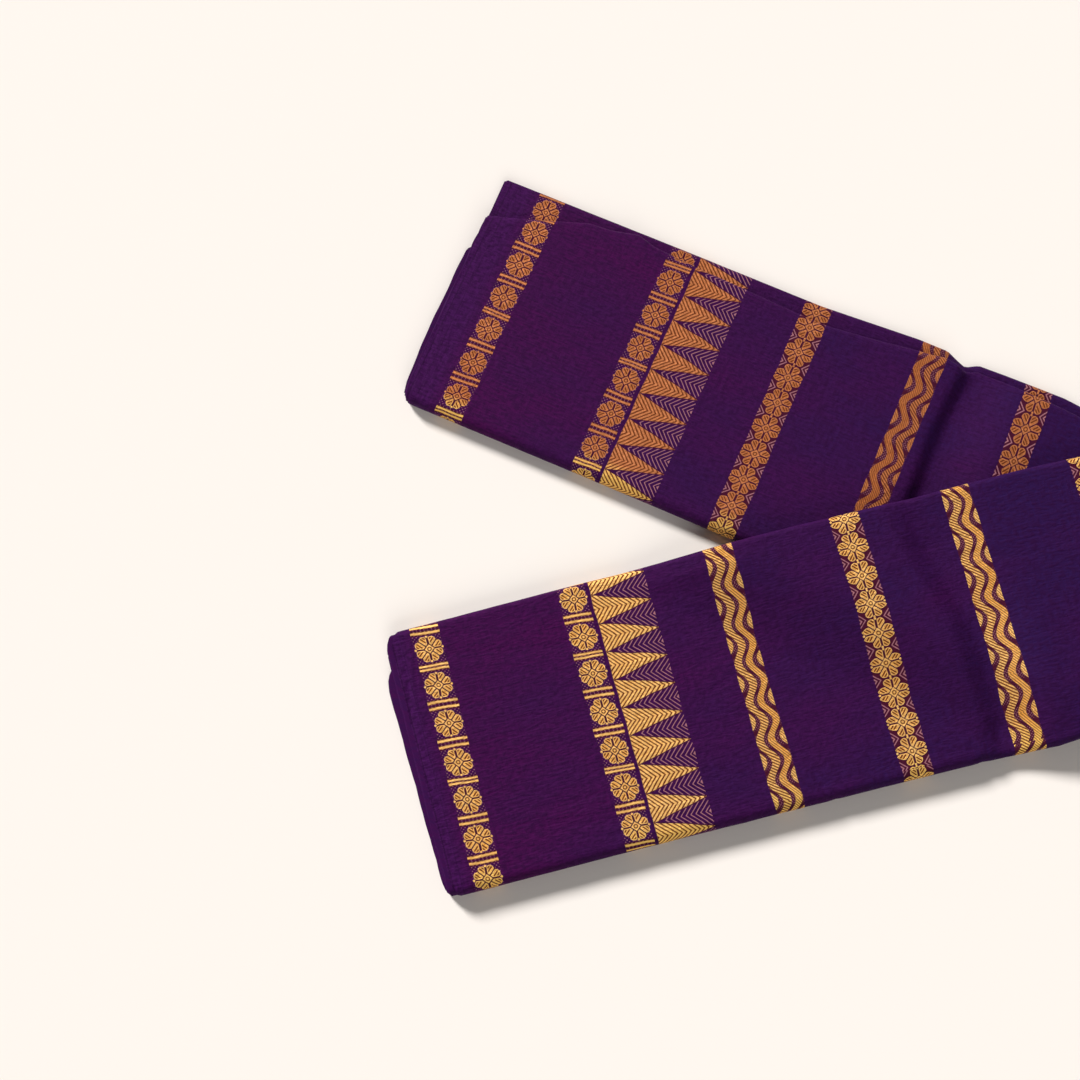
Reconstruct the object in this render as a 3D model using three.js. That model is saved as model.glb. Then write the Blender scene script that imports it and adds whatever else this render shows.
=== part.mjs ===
// A cotton saree folded lengthwise into a long flat strip, the strip folded over itself once
// and fanned into a V. Millimetres, +Z up. The strip's under arm lies flat, the over arm rests
// on it and comes down to the same surface at its free end.
import * as THREE from 'three';

// The cloth
const CLOTH_WALL = 1; // outermost cloth of the folded strip
const SEAM_GAP = 0.3; // between pieces that touch
const STRIP_THICKNESS = 14; // 32 layers, loosely pressed
const STRIP_WIDTH = 191; // one thirty-second of the cloth's length, less the rounded folds
const SET_BACK = 10; // how far the inner group of layers lies inside the outer group's far edge
const ARM_GAP = 0.6; // between the two arms where they lie on each other

// Where the over arm comes down off the under arm's near edge, measured out from that edge
const DRAPE_START = 8;
const DRAPE_RUN = 70;

// Width of each arm's edges beyond half the strip's width, from the free end to the fold
const OVER_EDGES = [
  { along: 0, far: 1, near: 0 },
  { along: 140, far: 2.5, near: 0 },
  { along: 300, far: 2.5, near: 1 },
  { along: 397, far: 1.5, near: 2 },
  { along: 460, far: 2.5, near: 4 },
  { along: 545, far: 0, near: 0 },
];
const UNDER_EDGES = [
  { along: -9, far: 1, near: 1 },
  { along: 140, far: 2.5, near: 0 },
  { along: 250, far: 3, near: 0 },
  { along: 326, far: 8, near: 0 },
  { along: 350, far: 8, near: 0 },
  { along: 367, far: 2, near: 0 },
  { along: 377, far: 7, near: 0 },
  { along: 460, far: 7, near: 0 },
  { along: 545, far: 0, near: 0 },
];

// How far in from its place at the fold the far edge of the under arm's upper group lies, which
// leaves a ledge of the lower group showing, wide at the free end
const UNDER_LEDGE = [
  { along: -9, inward: 25 },
  { along: 22, inward: 15.5 },
  { along: 44, inward: 7.7 },
  { along: 65, inward: 0.5 },
  { along: 83, inward: -0.8 },
  { along: 103, inward: -5.5 },
  { along: 117, inward: -1.4 },
  { along: 150, inward: 1.2 },
  { along: 260, inward: 5.6 },
  { along: 300, inward: 3 },
  { along: 337, inward: -0.3 },
  { along: 360, inward: -4.3 },
  { along: 460, inward: 0 },
];
const OVER_LEDGE = [{ along: 0, inward: 0 }];
const LEDGE_FROM = -91; // places across the strip between which the ledge's edge is drawn in
const LEDGE_TO = -24;

// Free ends of each group of layers: how far the end stands out (negative) or back at a place
// across the strip
const OVER_TOP_END = [
  { across: -96, out: 7 },
  { across: -91, out: 2 },
  { across: -84, out: 0 },
  { across: 96, out: 1.5 },
];
const OVER_LOW_END = [
  { across: -96, out: 9 },
  { across: -74, out: 2 },
  { across: -66, out: -4 },
  { across: -58, out: -5.6 },
  { across: 96, out: -0.6 },
];
const UNDER_TOP_END = [
  { across: -96, out: 3 },
  { across: -86, out: 0 },
  { across: 96, out: 1 },
];
const UNDER_LOW_END = [
  { across: -96, out: 0 },
  { across: -46, out: 0.5 },
  { across: -38, out: -3.6 },
  { across: 50, out: -3.6 },
  { across: 96, out: 0.5 },
];
const END_BLEND = 26; // length over which an end's shape fades into the arm
const LAYER_STEP = 1.3; // how far every second layer stands back at the ends

// The old cross creases: depth, run of the steep bank toward the free end and of the gentle one
const OVER_CREASE = { depth: 2.6, steep: 16, gentle: 34 };
const UNDER_CREASE = { depth: 4, steep: 9, gentle: 30 };

// Distances along each arm of the sections, closer together where the arm bends
const OVER_STEPS = [0, 6, 16, 34, 70, 105, 130, 148, 166, 184, 202, 222, 244, 266, 288, 310, 332, 354,
  372, 386, 397, 408, 422, 440, 464, 492, 522];
const UNDER_STEPS = [-9, -3, 7, 24, 44, 65, 84, 103, 118, 150, 205, 262, 300, 326, 350, 359, 367, 377,
  388, 404, 440, 480, 516];

// The two arms. at: the middle of the arm, where distances along it are counted from.
// end: distance to the free end. crease: distance to the old cross crease.
// heading and inner: the arm's direction in degrees before and after that crease.
const OVER_ARM = {
  at: [-263.6, -177.6],
  end: 0,
  crease: 397,
  heading: 14.4,
  inner: 14.0,
  turns: -1,
  edges: OVER_EDGES,
  ledge: OVER_LEDGE,
  press: OVER_CREASE,
  topEnd: OVER_TOP_END,
  lowEnd: OVER_LOW_END,
  steps: OVER_STEPS,
};
const UNDER_ARM = {
  at: [-232.1, 178.1],
  end: -9,
  crease: 367,
  heading: -23.7,
  inner: -22.6,
  turns: 1,
  edges: UNDER_EDGES,
  ledge: UNDER_LEDGE,
  press: UNDER_CREASE,
  topEnd: UNDER_TOP_END,
  lowEnd: UNDER_LOW_END,
  steps: UNDER_STEPS,
};
const FAN_RUN = 150; // length over which sections turn to lie along the fold
const CREASE_BLEND = 20; // half the length over which an arm's direction changes at its crease
const EDGE_FROM = 200; // place on the under arm where the edge that carries the over arm starts

// How finely the round stretches and the hidden layers are stepped
const FOLD_STEPS = 9;
const ARC_STEPS = 5;
const LAYER_LEVELS = 6;
const ROUND_ROOM = 0.4; // more room where flat steps cut across a round
const TUCK_SLOPE = 2; // run of the step beside cloth that turns in

const HALF_WIDTH = STRIP_WIDTH / 2;
const FOLD_RADIUS = STRIP_THICKNESS / 2;
const PURPLE = 0x42124a;
const DEEP_PURPLE = 0x2a0d33;

function radians(degrees) {
  return THREE.MathUtils.degToRad(degrees);
}

function heading(degrees) {
  return new THREE.Vector2(Math.cos(radians(degrees)), Math.sin(radians(degrees)));
}

// The direction across an arm, toward the viewer's side
function across(degrees) {
  return new THREE.Vector2(Math.sin(radians(degrees)), -Math.cos(radians(degrees)));
}

// A column of a table at a place between its rows
function tableAt(rows, key, column, value) {
  if (value <= rows[0][key]) {
    return rows[0][column];
  }
  for (let row = 1; row < rows.length; row += 1) {
    const before = rows[row - 1];
    const after = rows[row];
    if (value <= after[key]) {
      const share = (value - before[key]) / (after[key] - before[key]);
      return THREE.MathUtils.lerp(before[column], after[column], share);
    }
  }
  return rows[rows.length - 1][column];
}

// The middle of an arm at a distance along it, before any bend at its fold
function middle(arm, along) {
  const start = new THREE.Vector2(...arm.at);
  const outer = Math.min(along, arm.crease);
  const rest = Math.max(along - arm.crease, 0);
  return start.addScaledVector(heading(arm.heading), outer).addScaledVector(heading(arm.inner), rest);
}

// Where the two arms' middle lines meet, and how far along each arm that is
function meeting() {
  const over = middle(OVER_ARM, OVER_ARM.crease);
  const under = middle(UNDER_ARM, UNDER_ARM.crease);
  const overWay = heading(OVER_ARM.inner);
  const underWay = heading(UNDER_ARM.inner);
  const between = under.clone().sub(over);
  const overRun = between.cross(underWay) / overWay.cross(underWay);
  const underRun = between.cross(overWay) / overWay.cross(underWay);
  const point = over.clone().addScaledVector(overWay, overRun);
  return { point, over: OVER_ARM.crease + overRun, under: UNDER_ARM.crease + underRun };
}

// The fold at the far end of the V: a half turn about a level axis
const MEETING = meeting();
const FOLD_HEADING = (OVER_ARM.inner + UNDER_ARM.inner) / 2;
const HALF_ANGLE = radians((OVER_ARM.inner - UNDER_ARM.inner) / 2);
const TURN_RADIUS = ARM_GAP / 2 + STRIP_THICKNESS / 2;
const AXIS_BACK = (Math.PI * TURN_RADIUS) / 2;
const AXIS_POINT = MEETING.point.clone().addScaledVector(heading(FOLD_HEADING), -AXIS_BACK);
const AXIS_HEIGHT = STRIP_THICKNESS + ARM_GAP / 2;
OVER_ARM.fold = MEETING.over - AXIS_BACK / Math.cos(HALF_ANGLE);
UNDER_ARM.fold = MEETING.under - AXIS_BACK / Math.cos(HALF_ANGLE);

// Plan position of a place on an arm. Sections are square to the arm and turn near the fold to
// lie along its axis.
function plan(arm, along, side) {
  const turn = THREE.MathUtils.smoothstep(along, arm.fold - FAN_RUN, arm.fold);
  const skewed = along + side * Math.tan(HALF_ANGLE) * turn * arm.turns;
  const bend = THREE.MathUtils.smoothstep(skewed, arm.crease - CREASE_BLEND, arm.crease + CREASE_BLEND);
  const angle = THREE.MathUtils.lerp(arm.heading, arm.inner, bend);
  return middle(arm, skewed).addScaledVector(across(angle), side);
}

// Height of the over arm's underside, which the under arm's near edge holds up
const EDGE_START = plan(UNDER_ARM, EDGE_FROM, HALF_WIDTH);
const EDGE_WAY = plan(UNDER_ARM, UNDER_ARM.fold, HALF_WIDTH).sub(EDGE_START).normalize();
function heldUp(point) {
  const inside = EDGE_WAY.cross(point.clone().sub(EDGE_START));
  const clear = STRIP_THICKNESS + ARM_GAP;
  return clear * THREE.MathUtils.smoothstep(inside, -DRAPE_RUN, -DRAPE_START);
}

// How much of its thickness the strip keeps at the cross crease
function pressed(crease, distance) {
  const run = distance < 0 ? crease.steep : crease.gentle;
  const share = Math.max(0, 1 - Math.abs(distance) / run);
  return 1 - (crease.depth * share * share * (3 - 2 * share)) / STRIP_THICKNESS;
}

// Where a place across an arm comes to lie when the inner group's far edge is drawn in
function drawnIn(arm, along, side) {
  const inward = tableAt(arm.ledge, 'along', 'inward', along);
  return side + inward * tableAt(LEDGE_SHARES, 'across', 'share', side);
}

// A place on an arm: along it, across it and up through the strip's thickness
function onArm(arm, along, side, up) {
  const edges = tableAt(arm.edges, 'along', side < 0 ? 'far' : 'near', along);
  const wider = 1 + edges / HALF_WIDTH;
  const flat = plan(arm, along, drawnIn(arm, along, side) * wider);
  const carried = THREE.MathUtils.clamp(side, COLUMNS[0], NEAR_ROUND) * wider;
  const level = arm === OVER_ARM ? heldUp(plan(arm, along, carried)) : 0;
  const height = up * pressed(arm.press, along - arm.crease);
  return new THREE.Vector3(flat.x, flat.y, level + height);
}

// A place in the fold. turn runs from 0 on the over arm to 1 on the under arm, and up is counted
// through the over arm's thickness.
function inFold(turn, side, up) {
  const radius = ARM_GAP / 2 + up;
  const angle = turn * Math.PI;
  const slide = (turn - 0.5) * 2 * AXIS_BACK * Math.tan(HALF_ANGLE);
  const alongAxis = slide - side / Math.cos(HALF_ANGLE);
  const flat = AXIS_POINT.clone().addScaledVector(across(FOLD_HEADING), -alongAxis);
  flat.addScaledVector(heading(FOLD_HEADING), radius * Math.sin(angle));
  return new THREE.Vector3(flat.x, flat.y, AXIS_HEIGHT + radius * Math.cos(angle));
}

// A closed solid on a lattice of places: the six outer sides of a box of steps. Its quads are cut
// along one diagonal up to column turned, and along the other beyond it.
function latticeSolid(counts, place, turned = Infinity) {
  const keys = new Map();
  const positions = [];
  const faces = [];
  const vertex = (i, j, k) => {
    const key = `${i},${j},${k}`;
    if (!keys.has(key)) {
      keys.set(key, positions.length / 3);
      positions.push(...place(i, j, k).toArray());
    }
    return keys.get(key);
  };
  const side = (across1, across2, build, flip) => {
    for (let a = 0; a < across1; a += 1) {
      for (let b = 0; b < across2; b += 1) {
        const corners = [build(a, b), build(a + 1, b), build(a + 1, b + 1), build(a, b + 1)];
        const [p, q, r, s] = corners.map((corner) => vertex(...corner));
        const halves = corners[0][1] < turned ? [[p, q, r], [p, r, s]] : [[q, r, s], [q, s, p]];
        halves.forEach((half) => faces.push(...(flip ? half.reverse() : half)));
      }
    }
  };
  const [ni, nj, nk] = counts;
  side(ni, nj, (a, b) => [a, b, 0], true);
  side(ni, nj, (a, b) => [a, b, nk], false);
  side(ni, nk, (a, b) => [a, 0, b], false);
  side(ni, nk, (a, b) => [a, nj, b], true);
  side(nj, nk, (a, b) => [0, a, b], true);
  side(nj, nk, (a, b) => [ni, a, b], false);
  const geometry = new THREE.BufferGeometry();
  geometry.setAttribute('position', new THREE.Float32BufferAttribute(positions, 3));
  geometry.setIndex(faces);
  return geometry;
}

// Six times the volume of a closed geometry, negative when its faces point in
function signedVolume(geometry) {
  const position = geometry.getAttribute('position');
  const corner = [new THREE.Vector3(), new THREE.Vector3(), new THREE.Vector3()];
  let total = 0;
  for (let start = 0; start < geometry.index.count; start += 3) {
    corner.forEach((point, n) => point.fromBufferAttribute(position, geometry.index.getX(start + n)));
    total += corner[0].dot(corner[1].cross(corner[2]));
  }
  return total;
}

function facingOut(geometry) {
  if (signedVolume(geometry) < 0) {
    const index = geometry.index;
    for (let start = 0; start < index.count; start += 3) {
      const kept = index.getX(start + 1);
      index.setX(start + 1, index.getX(start + 2));
      index.setX(start + 2, kept);
    }
  }
  geometry.computeVertexNormals();
  return geometry;
}

// Far edges of the two groups of layers. The outer group is the over arm's upper one and the
// under arm's lower one, and stands out beyond the inner group.
const FAR_OUTER = -HALF_WIDTH;
const FAR_INNER = -HALF_WIDTH + SET_BACK;
const MID_LOW = STRIP_THICKNESS / 2 - SEAM_GAP / 2;
const MID_HIGH = STRIP_THICKNESS / 2 + SEAM_GAP / 2;

// Points of an arc in the section, from one angle to another in degrees
function arc(centre, radius, from, to) {
  const points = [];
  for (let step = 0; step <= ARC_STEPS; step += 1) {
    const angle = radians(THREE.MathUtils.lerp(from, to, step / ARC_STEPS));
    points.push([centre[0] + radius * Math.cos(angle), centre[1] + radius * Math.sin(angle)]);
  }
  return points;
}

// Columns across the strip that the cloth and the hidden layers share, so that their flat steps
// lie on each other where the strip is draped
const NEAR_ROUND = HALF_WIDTH - FOLD_RADIUS;
const TUCK_END = FAR_INNER + MID_LOW / 2 + SEAM_GAP;
const COLUMNS = [TUCK_END, TUCK_END + TUCK_SLOPE, -52, -24, 4, 32, 62, NEAR_ROUND];
const LAYER_COLUMNS = COLUMNS.length;

// Shares of the ledge's inward run that places across the strip take
const LEDGE_SHARES = [
  { across: LEDGE_FROM, share: 0 },
  { across: FAR_INNER, share: 1 },
  { across: TUCK_END + TUCK_SLOPE, share: 1 },
  { across: LEDGE_TO, share: 0 },
];

// Section of the outermost cloth, inset from the strip's outside: round the outer group's far
// edge, over the face, round the near fold, back underneath and round the inner group's far edge,
// with a ledge inward where the outer group stands out from under the inner one
function clothSection(inset) {
  const edgeRadius = MID_LOW / 2;
  const outerCentre = [FAR_OUTER + edgeRadius, MID_HIGH + edgeRadius];
  const innerCentre = [FAR_INNER + edgeRadius, edgeRadius];
  const nearCentre = [NEAR_ROUND, FOLD_RADIUS];
  const ledge = [FAR_INNER + edgeRadius, MID_HIGH + inset];
  const outerArc = arc(outerCentre, edgeRadius - inset, 270, 90);
  const nearArc = arc(nearCentre, FOLD_RADIUS - inset, 90, -90);
  const innerArc = arc(innerCentre, edgeRadius - inset, 270, 90);
  const between = COLUMNS.slice(0, -1);
  const face = between.map((side) => [side, STRIP_THICKNESS - inset]);
  const back = between.map((side) => [side, inset]).reverse();
  return [ledge, ...outerArc, ...face, ...nearArc, ...back, ...innerArc];
}

const CLOTH_OUTSIDE = clothSection(0);
const CLOTH_INSIDE = clothSection(CLOTH_WALL);
const BACK_START = CLOTH_OUTSIDE.length - ARC_STEPS - COLUMNS.length - 1;

// How far a group of hidden layers reaches up and down. Beside its far edge it makes room for the
// outermost cloth that turns in there.
function groupHeights(group, tucked) {
  const inset = CLOTH_WALL + SEAM_GAP;
  const room = tucked ? inset : 0;
  if (group === 'outer') {
    return { low: MID_HIGH + room, high: STRIP_THICKNESS - inset };
  }
  return { low: inset, high: MID_LOW - room };
}

// A place in a group of hidden layers, whose section is round at its far edge and follows the
// near fold. column counts from the far edge, level runs from 0 to 1.
function layerPlace(group, column, level) {
  const inset = CLOTH_WALL + SEAM_GAP;
  const { low, high } = groupHeights(group, column < 2);
  const up = THREE.MathUtils.lerp(low, high, level);
  if (column === 0) {
    const half = (high - low) / 2;
    const round = Math.sqrt(Math.max(0, half * half - (up - low - half) ** 2));
    const farEdge = group === 'outer' ? FAR_OUTER : FAR_INNER;
    return { side: farEdge + inset + ROUND_ROOM + half - round, up };
  }
  if (column === LAYER_COLUMNS) {
    const cornerRadius = FOLD_RADIUS - inset - ROUND_ROOM;
    const rise = Math.min(Math.abs(up - FOLD_RADIUS), cornerRadius);
    return { side: NEAR_ROUND + Math.sqrt(cornerRadius ** 2 - rise ** 2), up };
  }
  return { side: COLUMNS[column - 1], up };
}

// An arm's distance along at one of its steps. The end's shape fades out over END_BLEND.
function alongArm(arm, step, endShape, side, stepBack) {
  const base = step === arm.steps.length ? arm.fold - SEAM_GAP : arm.steps[step];
  const fade = 1 - THREE.MathUtils.smoothstep(base, arm.end, arm.end + END_BLEND);
  return base + fade * (tableAt(endShape, 'across', 'out', side) + stepBack);
}

// Sections are counted through the over arm's thickness, so the under arm turns them over
function upOn(arm, up) {
  return arm === OVER_ARM ? up : STRIP_THICKNESS - up;
}

function endShapeAt(arm, up) {
  return upOn(arm, up) > FOLD_RADIUS ? arm.topEnd : arm.lowEnd;
}

function armCloth(arm) {
  const counts = [arm.steps.length, CLOTH_OUTSIDE.length - 1, 1];
  return latticeSolid(counts, (i, j, k) => {
    const [side, up] = (k ? CLOTH_OUTSIDE : CLOTH_INSIDE)[j];
    const along = alongArm(arm, i, endShapeAt(arm, up), side, 0);
    return onArm(arm, along, side, upOn(arm, up));
  }, BACK_START);
}

function armLayers(arm, group) {
  const counts = [arm.steps.length, LAYER_COLUMNS, LAYER_LEVELS];
  return latticeSolid(counts, (i, j, k) => {
    const { side, up } = layerPlace(group, j, k / LAYER_LEVELS);
    const stepBack = k % 2 ? LAYER_STEP : -LAYER_STEP / 2;
    const along = alongArm(arm, i, endShapeAt(arm, up), side, stepBack);
    return onArm(arm, along, side, upOn(arm, up));
  });
}

function foldCloth() {
  const counts = [FOLD_STEPS, CLOTH_OUTSIDE.length - 1, 1];
  return latticeSolid(counts, (i, j, k) => {
    const [side, up] = (k ? CLOTH_OUTSIDE : CLOTH_INSIDE)[j];
    return inFold(i / FOLD_STEPS, side, up);
  }, BACK_START);
}

function foldLayers(group) {
  const counts = [FOLD_STEPS, LAYER_COLUMNS, LAYER_LEVELS];
  return latticeSolid(counts, (i, j, k) => {
    const { side, up } = layerPlace(group, j, k / LAYER_LEVELS);
    return inFold(i / FOLD_STEPS, side, up);
  });
}

function clothPiece(name, geometry, color) {
  const material = new THREE.MeshStandardMaterial({ color, roughness: 0.75, metalness: 0 });
  const mesh = new THREE.Mesh(facingOut(geometry), material);
  mesh.name = name;
  return mesh;
}

const saree = new THREE.Group();
saree.add(clothPiece('over_arm_cloth', armCloth(OVER_ARM), PURPLE));
saree.add(clothPiece('over_arm_upper_layers', armLayers(OVER_ARM, 'outer'), DEEP_PURPLE));
saree.add(clothPiece('over_arm_lower_layers', armLayers(OVER_ARM, 'inner'), DEEP_PURPLE));
saree.add(clothPiece('under_arm_cloth', armCloth(UNDER_ARM), PURPLE));
saree.add(clothPiece('under_arm_upper_layers', armLayers(UNDER_ARM, 'inner'), DEEP_PURPLE));
saree.add(clothPiece('under_arm_lower_layers', armLayers(UNDER_ARM, 'outer'), DEEP_PURPLE));
saree.add(clothPiece('fold_cloth', foldCloth(), PURPLE));
saree.add(clothPiece('fold_outer_layers', foldLayers('outer'), DEEP_PURPLE));
saree.add(clothPiece('fold_inner_layers', foldLayers('inner'), DEEP_PURPLE));

export default saree;
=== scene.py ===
"""A folded cotton saree: the outermost cloth of each stretch, and the hidden layers that show at its ends.

Places and sizes are in millimetres until a mesh is made, as in the part's source. "along" runs from an
arm's free end to the fold, "side" across it toward the viewer, and "up" through the folded thickness.
"""
import math
from functools import partialmethod
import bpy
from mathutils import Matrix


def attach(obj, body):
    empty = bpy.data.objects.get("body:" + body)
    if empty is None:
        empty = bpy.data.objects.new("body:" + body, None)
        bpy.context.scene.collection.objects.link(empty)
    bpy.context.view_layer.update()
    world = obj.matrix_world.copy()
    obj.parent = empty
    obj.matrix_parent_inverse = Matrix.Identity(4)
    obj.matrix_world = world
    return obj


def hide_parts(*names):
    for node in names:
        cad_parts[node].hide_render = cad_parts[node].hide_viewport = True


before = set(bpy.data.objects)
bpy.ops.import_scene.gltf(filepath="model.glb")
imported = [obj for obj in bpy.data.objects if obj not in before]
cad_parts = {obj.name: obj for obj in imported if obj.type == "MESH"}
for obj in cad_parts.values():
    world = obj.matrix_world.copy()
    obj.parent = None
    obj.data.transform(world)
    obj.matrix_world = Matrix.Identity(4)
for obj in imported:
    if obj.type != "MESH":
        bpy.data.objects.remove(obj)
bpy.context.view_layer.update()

from types import SimpleNamespace

import bpy
import numpy as np
from bpy.props import FloatProperty, FloatVectorProperty, PointerProperty
from mathutils import Vector, noise

bl_info = {
    "name": "Folded Saree",
    "version": (1, 0, 0),
    "blender": (4, 5, 0),
    "location": "3D Viewport > Sidebar > Saree",
    "description": "A handloom cotton saree folded into a strip and doubled over itself",
    "category": "Object",
}

MM = 0.001

# The folded strip, as in the part's source
THICKNESS = 14
WIDTH = 191
SET_BACK = 10
SEAM_GAP = 0.3
ARM_GAP = 0.6
DRAPE_START = 8
DRAPE_RUN = 70
END_BLEND = 26
FAN_RUN = 150
CREASE_BLEND = 20
EDGE_FROM = 200
HALF_WIDTH = WIDTH / 2
FOLD_RADIUS = THICKNESS / 2
NEAR_ROUND = HALF_WIDTH - FOLD_RADIUS
FAR_OUTER = -HALF_WIDTH
FAR_INNER = FAR_OUTER + SET_BACK
MID_LOW = FOLD_RADIUS - SEAM_GAP / 2
MID_HIGH = FOLD_RADIUS + SEAM_GAP / 2
EDGE_RADIUS = MID_LOW / 2
OUTER_CENTRE = (FAR_OUTER + EDGE_RADIUS, MID_HIGH + EDGE_RADIUS)
INNER_CENTRE = (FAR_INNER + EDGE_RADIUS, EDGE_RADIUS)
NEAR_CENTRE = (NEAR_ROUND, FOLD_RADIUS)
TUCK_END = INNER_CENTRE[0] + SEAM_GAP
TUCK_SLOPE = 2
LAYER_INSET = 1.3
LEDGE_SHARES = ((-91, 0), (FAR_INNER, 1), (TUCK_END + TUCK_SLOPE, 1), (-24, 0))

# Steps of the cloth's grid
SHOWN_STEP = 1.5
HIDDEN_STEP = 3.0
FOLD_STEP = 2.0
LEDGE_STEP = 1.4
ROUND_STEPS = 7  # in number round an edge; the near fold has twice as many
FINE_RUN = 24  # distance from the free end over which the rows are 1 mm apart
ROW_STEP = 3.0
FOLD_ROWS = 19

# Soft crinkles in the mesh: their size along and across, and how strong the long ones are
SHORT_CRINKLE = (15, 3.6)
LONG_CRINKLE = (42, 13)
LONG_CRINKLE_SHARE = 0.9
LONG_CRINKLE_OFFSET = 7
FOLD_CRINKLE_SEED = 5.0
CREASE_BOW = 0.06  # how far a placed crease bows to one side, as a share of its length
CREASE_IN = (-0.25, 0.2)  # shares of its length between which it grows, and fades again
CREASE_OUT = (0.8, 1.25)
HIDDEN_CRINKLE_SHARE = 0.5
COVERED_SHARE = 0.6  # how much of its relief the under arm loses where the over arm lies on it
FLOOR_REACH = 0.5  # cloth this near the floor stays flat on it

# The hidden layers: the steps of a block, and the grooves and ragged edges of single layers
SHEET_PITCH = 0.62
LAYER_LEVELS = 36
LAYER_STEP = 5.0
LAYER_FINE_ROWS = (0, 0.3, 0.8, 1.6, 3, 6, 12, 20)  # distances from the free end
LAYER_FINE_RUN = 26
FOLD_LAYER_ROWS = 13
OUTER_EDGE_PLACES = (-88.5, -85)
LAYER_FACE_FROM = -76
LAYER_FACE_PLACES = 42
CAP_PLACES = 7
NEAR_PLACES = 13
NEAR_END = 1.5  # degrees from level at which a near edge ends
GROOVE_DEPTH = 0.55
GROOVE_RUN = 4
SHEET_WANDER = 1.5
WANDER_CELL = 30
SHEET_CELLS = 3.7  # how far apart in the noise each layer is read from the next

# Small creases of the outermost cloth, listed one by one: along and side of both ends, half width and
# height, which is negative for a trough
OVER_CREASES = (
    (273, 70, 282, 95, 2.4, -0.9), (384, 84, 392, 97, 3.0, -1.1), (402, 20, 420, 60, 5.0, 0.4),
    (60, -70, 130, -58, 4.0, -0.22), (96, -58, 97, -40, 2.0, 0.25), (96, 2, 97, 18, 2.0, 0.25),
    (50, -8, 49, 30, 2.2, 0.25), (78, 34, 82, 44, 3.0, -0.3), (78, 60, 84, 70, 3.0, -0.3),
    (70, 46, 122, 52, 1.8, -0.2), (76, 55, 132, 61, 1.6, 0.22), (84, 63, 140, 70, 1.7, -0.22),
    (100, 72, 150, 78, 1.5, 0.2), (150, -30, 236, -22, 3.2, -0.2), (160, 30, 225, 38, 3.0, 0.2),
    (205, -72, 232, -60, 3.4, 0.22), (208, 4, 234, -6, 2.8, -0.25), (212, 58, 230, 70, 3.0, -0.25),
    (262, -60, 330, -50, 3.6, 0.22), (268, -12, 328, 2, 3.0, -0.22), (284, 30, 330, 44, 4.0, 0.24),
    (296, 66, 330, 84, 3.0, -0.24), (356, -60, 378, -20, 4.5, 0.3), (356, 20, 384, 58, 4.0, -0.3),
    (412, -50, 470, -36, 3.0, -0.24), (420, 62, 480, 74, 3.4, 0.24), (450, -10, 520, 12, 3.6, -0.2),
    (5, -78, 7, 90, 1.1, -0.75), (9.5, -62, 10, 30, 1.3, -0.5), (16, -80, 15, -10, 1.5, 0.25),
)
UNDER_CREASES = (
    (380, -98, 372, -84, 2.6, 0.7), (386, -62, 404, -44, 2.4, 0.35), (384, -52, 396, -36, 2.2, -0.35),
    (398, -60, 412, -52, 2.0, 0.3), (349, -88, 358, -60, 3.0, 0.3), (40, -40, 110, -34, 3.0, -0.22),
    (48, 10, 124, 18, 3.4, 0.2), (52, 52, 120, 58, 3.0, -0.2), (60, -64, 118, -70, 2.6, 0.22),
    (60, 30, 96, 34, 2.0, -0.2), (160, -50, 232, -40, 3.0, 0.2), (196, -66, 240, -58, 2.8, -0.22),
    (198, -20, 236, -12, 3.2, 0.22), (206, 26, 238, 34, 3.0, -0.2), (262, -66, 330, -54, 3.0, -0.2),
    (266, -30, 328, -18, 3.4, 0.22), (-4, -60, -3, 92, 1.1, -0.7), (2.5, -64, 3, 88, 1.2, -0.55),
    (9, -30, 8, 60, 1.4, 0.25), (13, 0, 12, 84, 1.5, -0.2), (300, 20, 350, 30, 4.0, 0.2),
    (420, -70, 470, -60, 3.0, 0.2), (440, -10, 510, 10, 3.4, -0.2),
)
# The same kind of creases on the sides that lie down: troughs only
HIDDEN_CREASES = (
    (40, -50, 120, -42, 4.0, -0.3), (70, 20, 150, 32, 5.0, -0.35), (160, 60, 240, 52, 3.6, -0.3),
    (190, -20, 210, 30, 4.0, -0.25), (250, -64, 320, -58, 4.4, -0.3), (280, 10, 350, 2, 5.0, -0.35),
    (330, 60, 352, 40, 3.0, -0.3), (410, -30, 480, -40, 4.0, -0.3), (430, 44, 500, 30, 5.0, -0.3),
    (30, 70, 60, 84, 3.0, -0.25), (110, -76, 140, -60, 3.2, -0.25), (500, -60, 530, -20, 4.0, -0.25),
)

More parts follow.
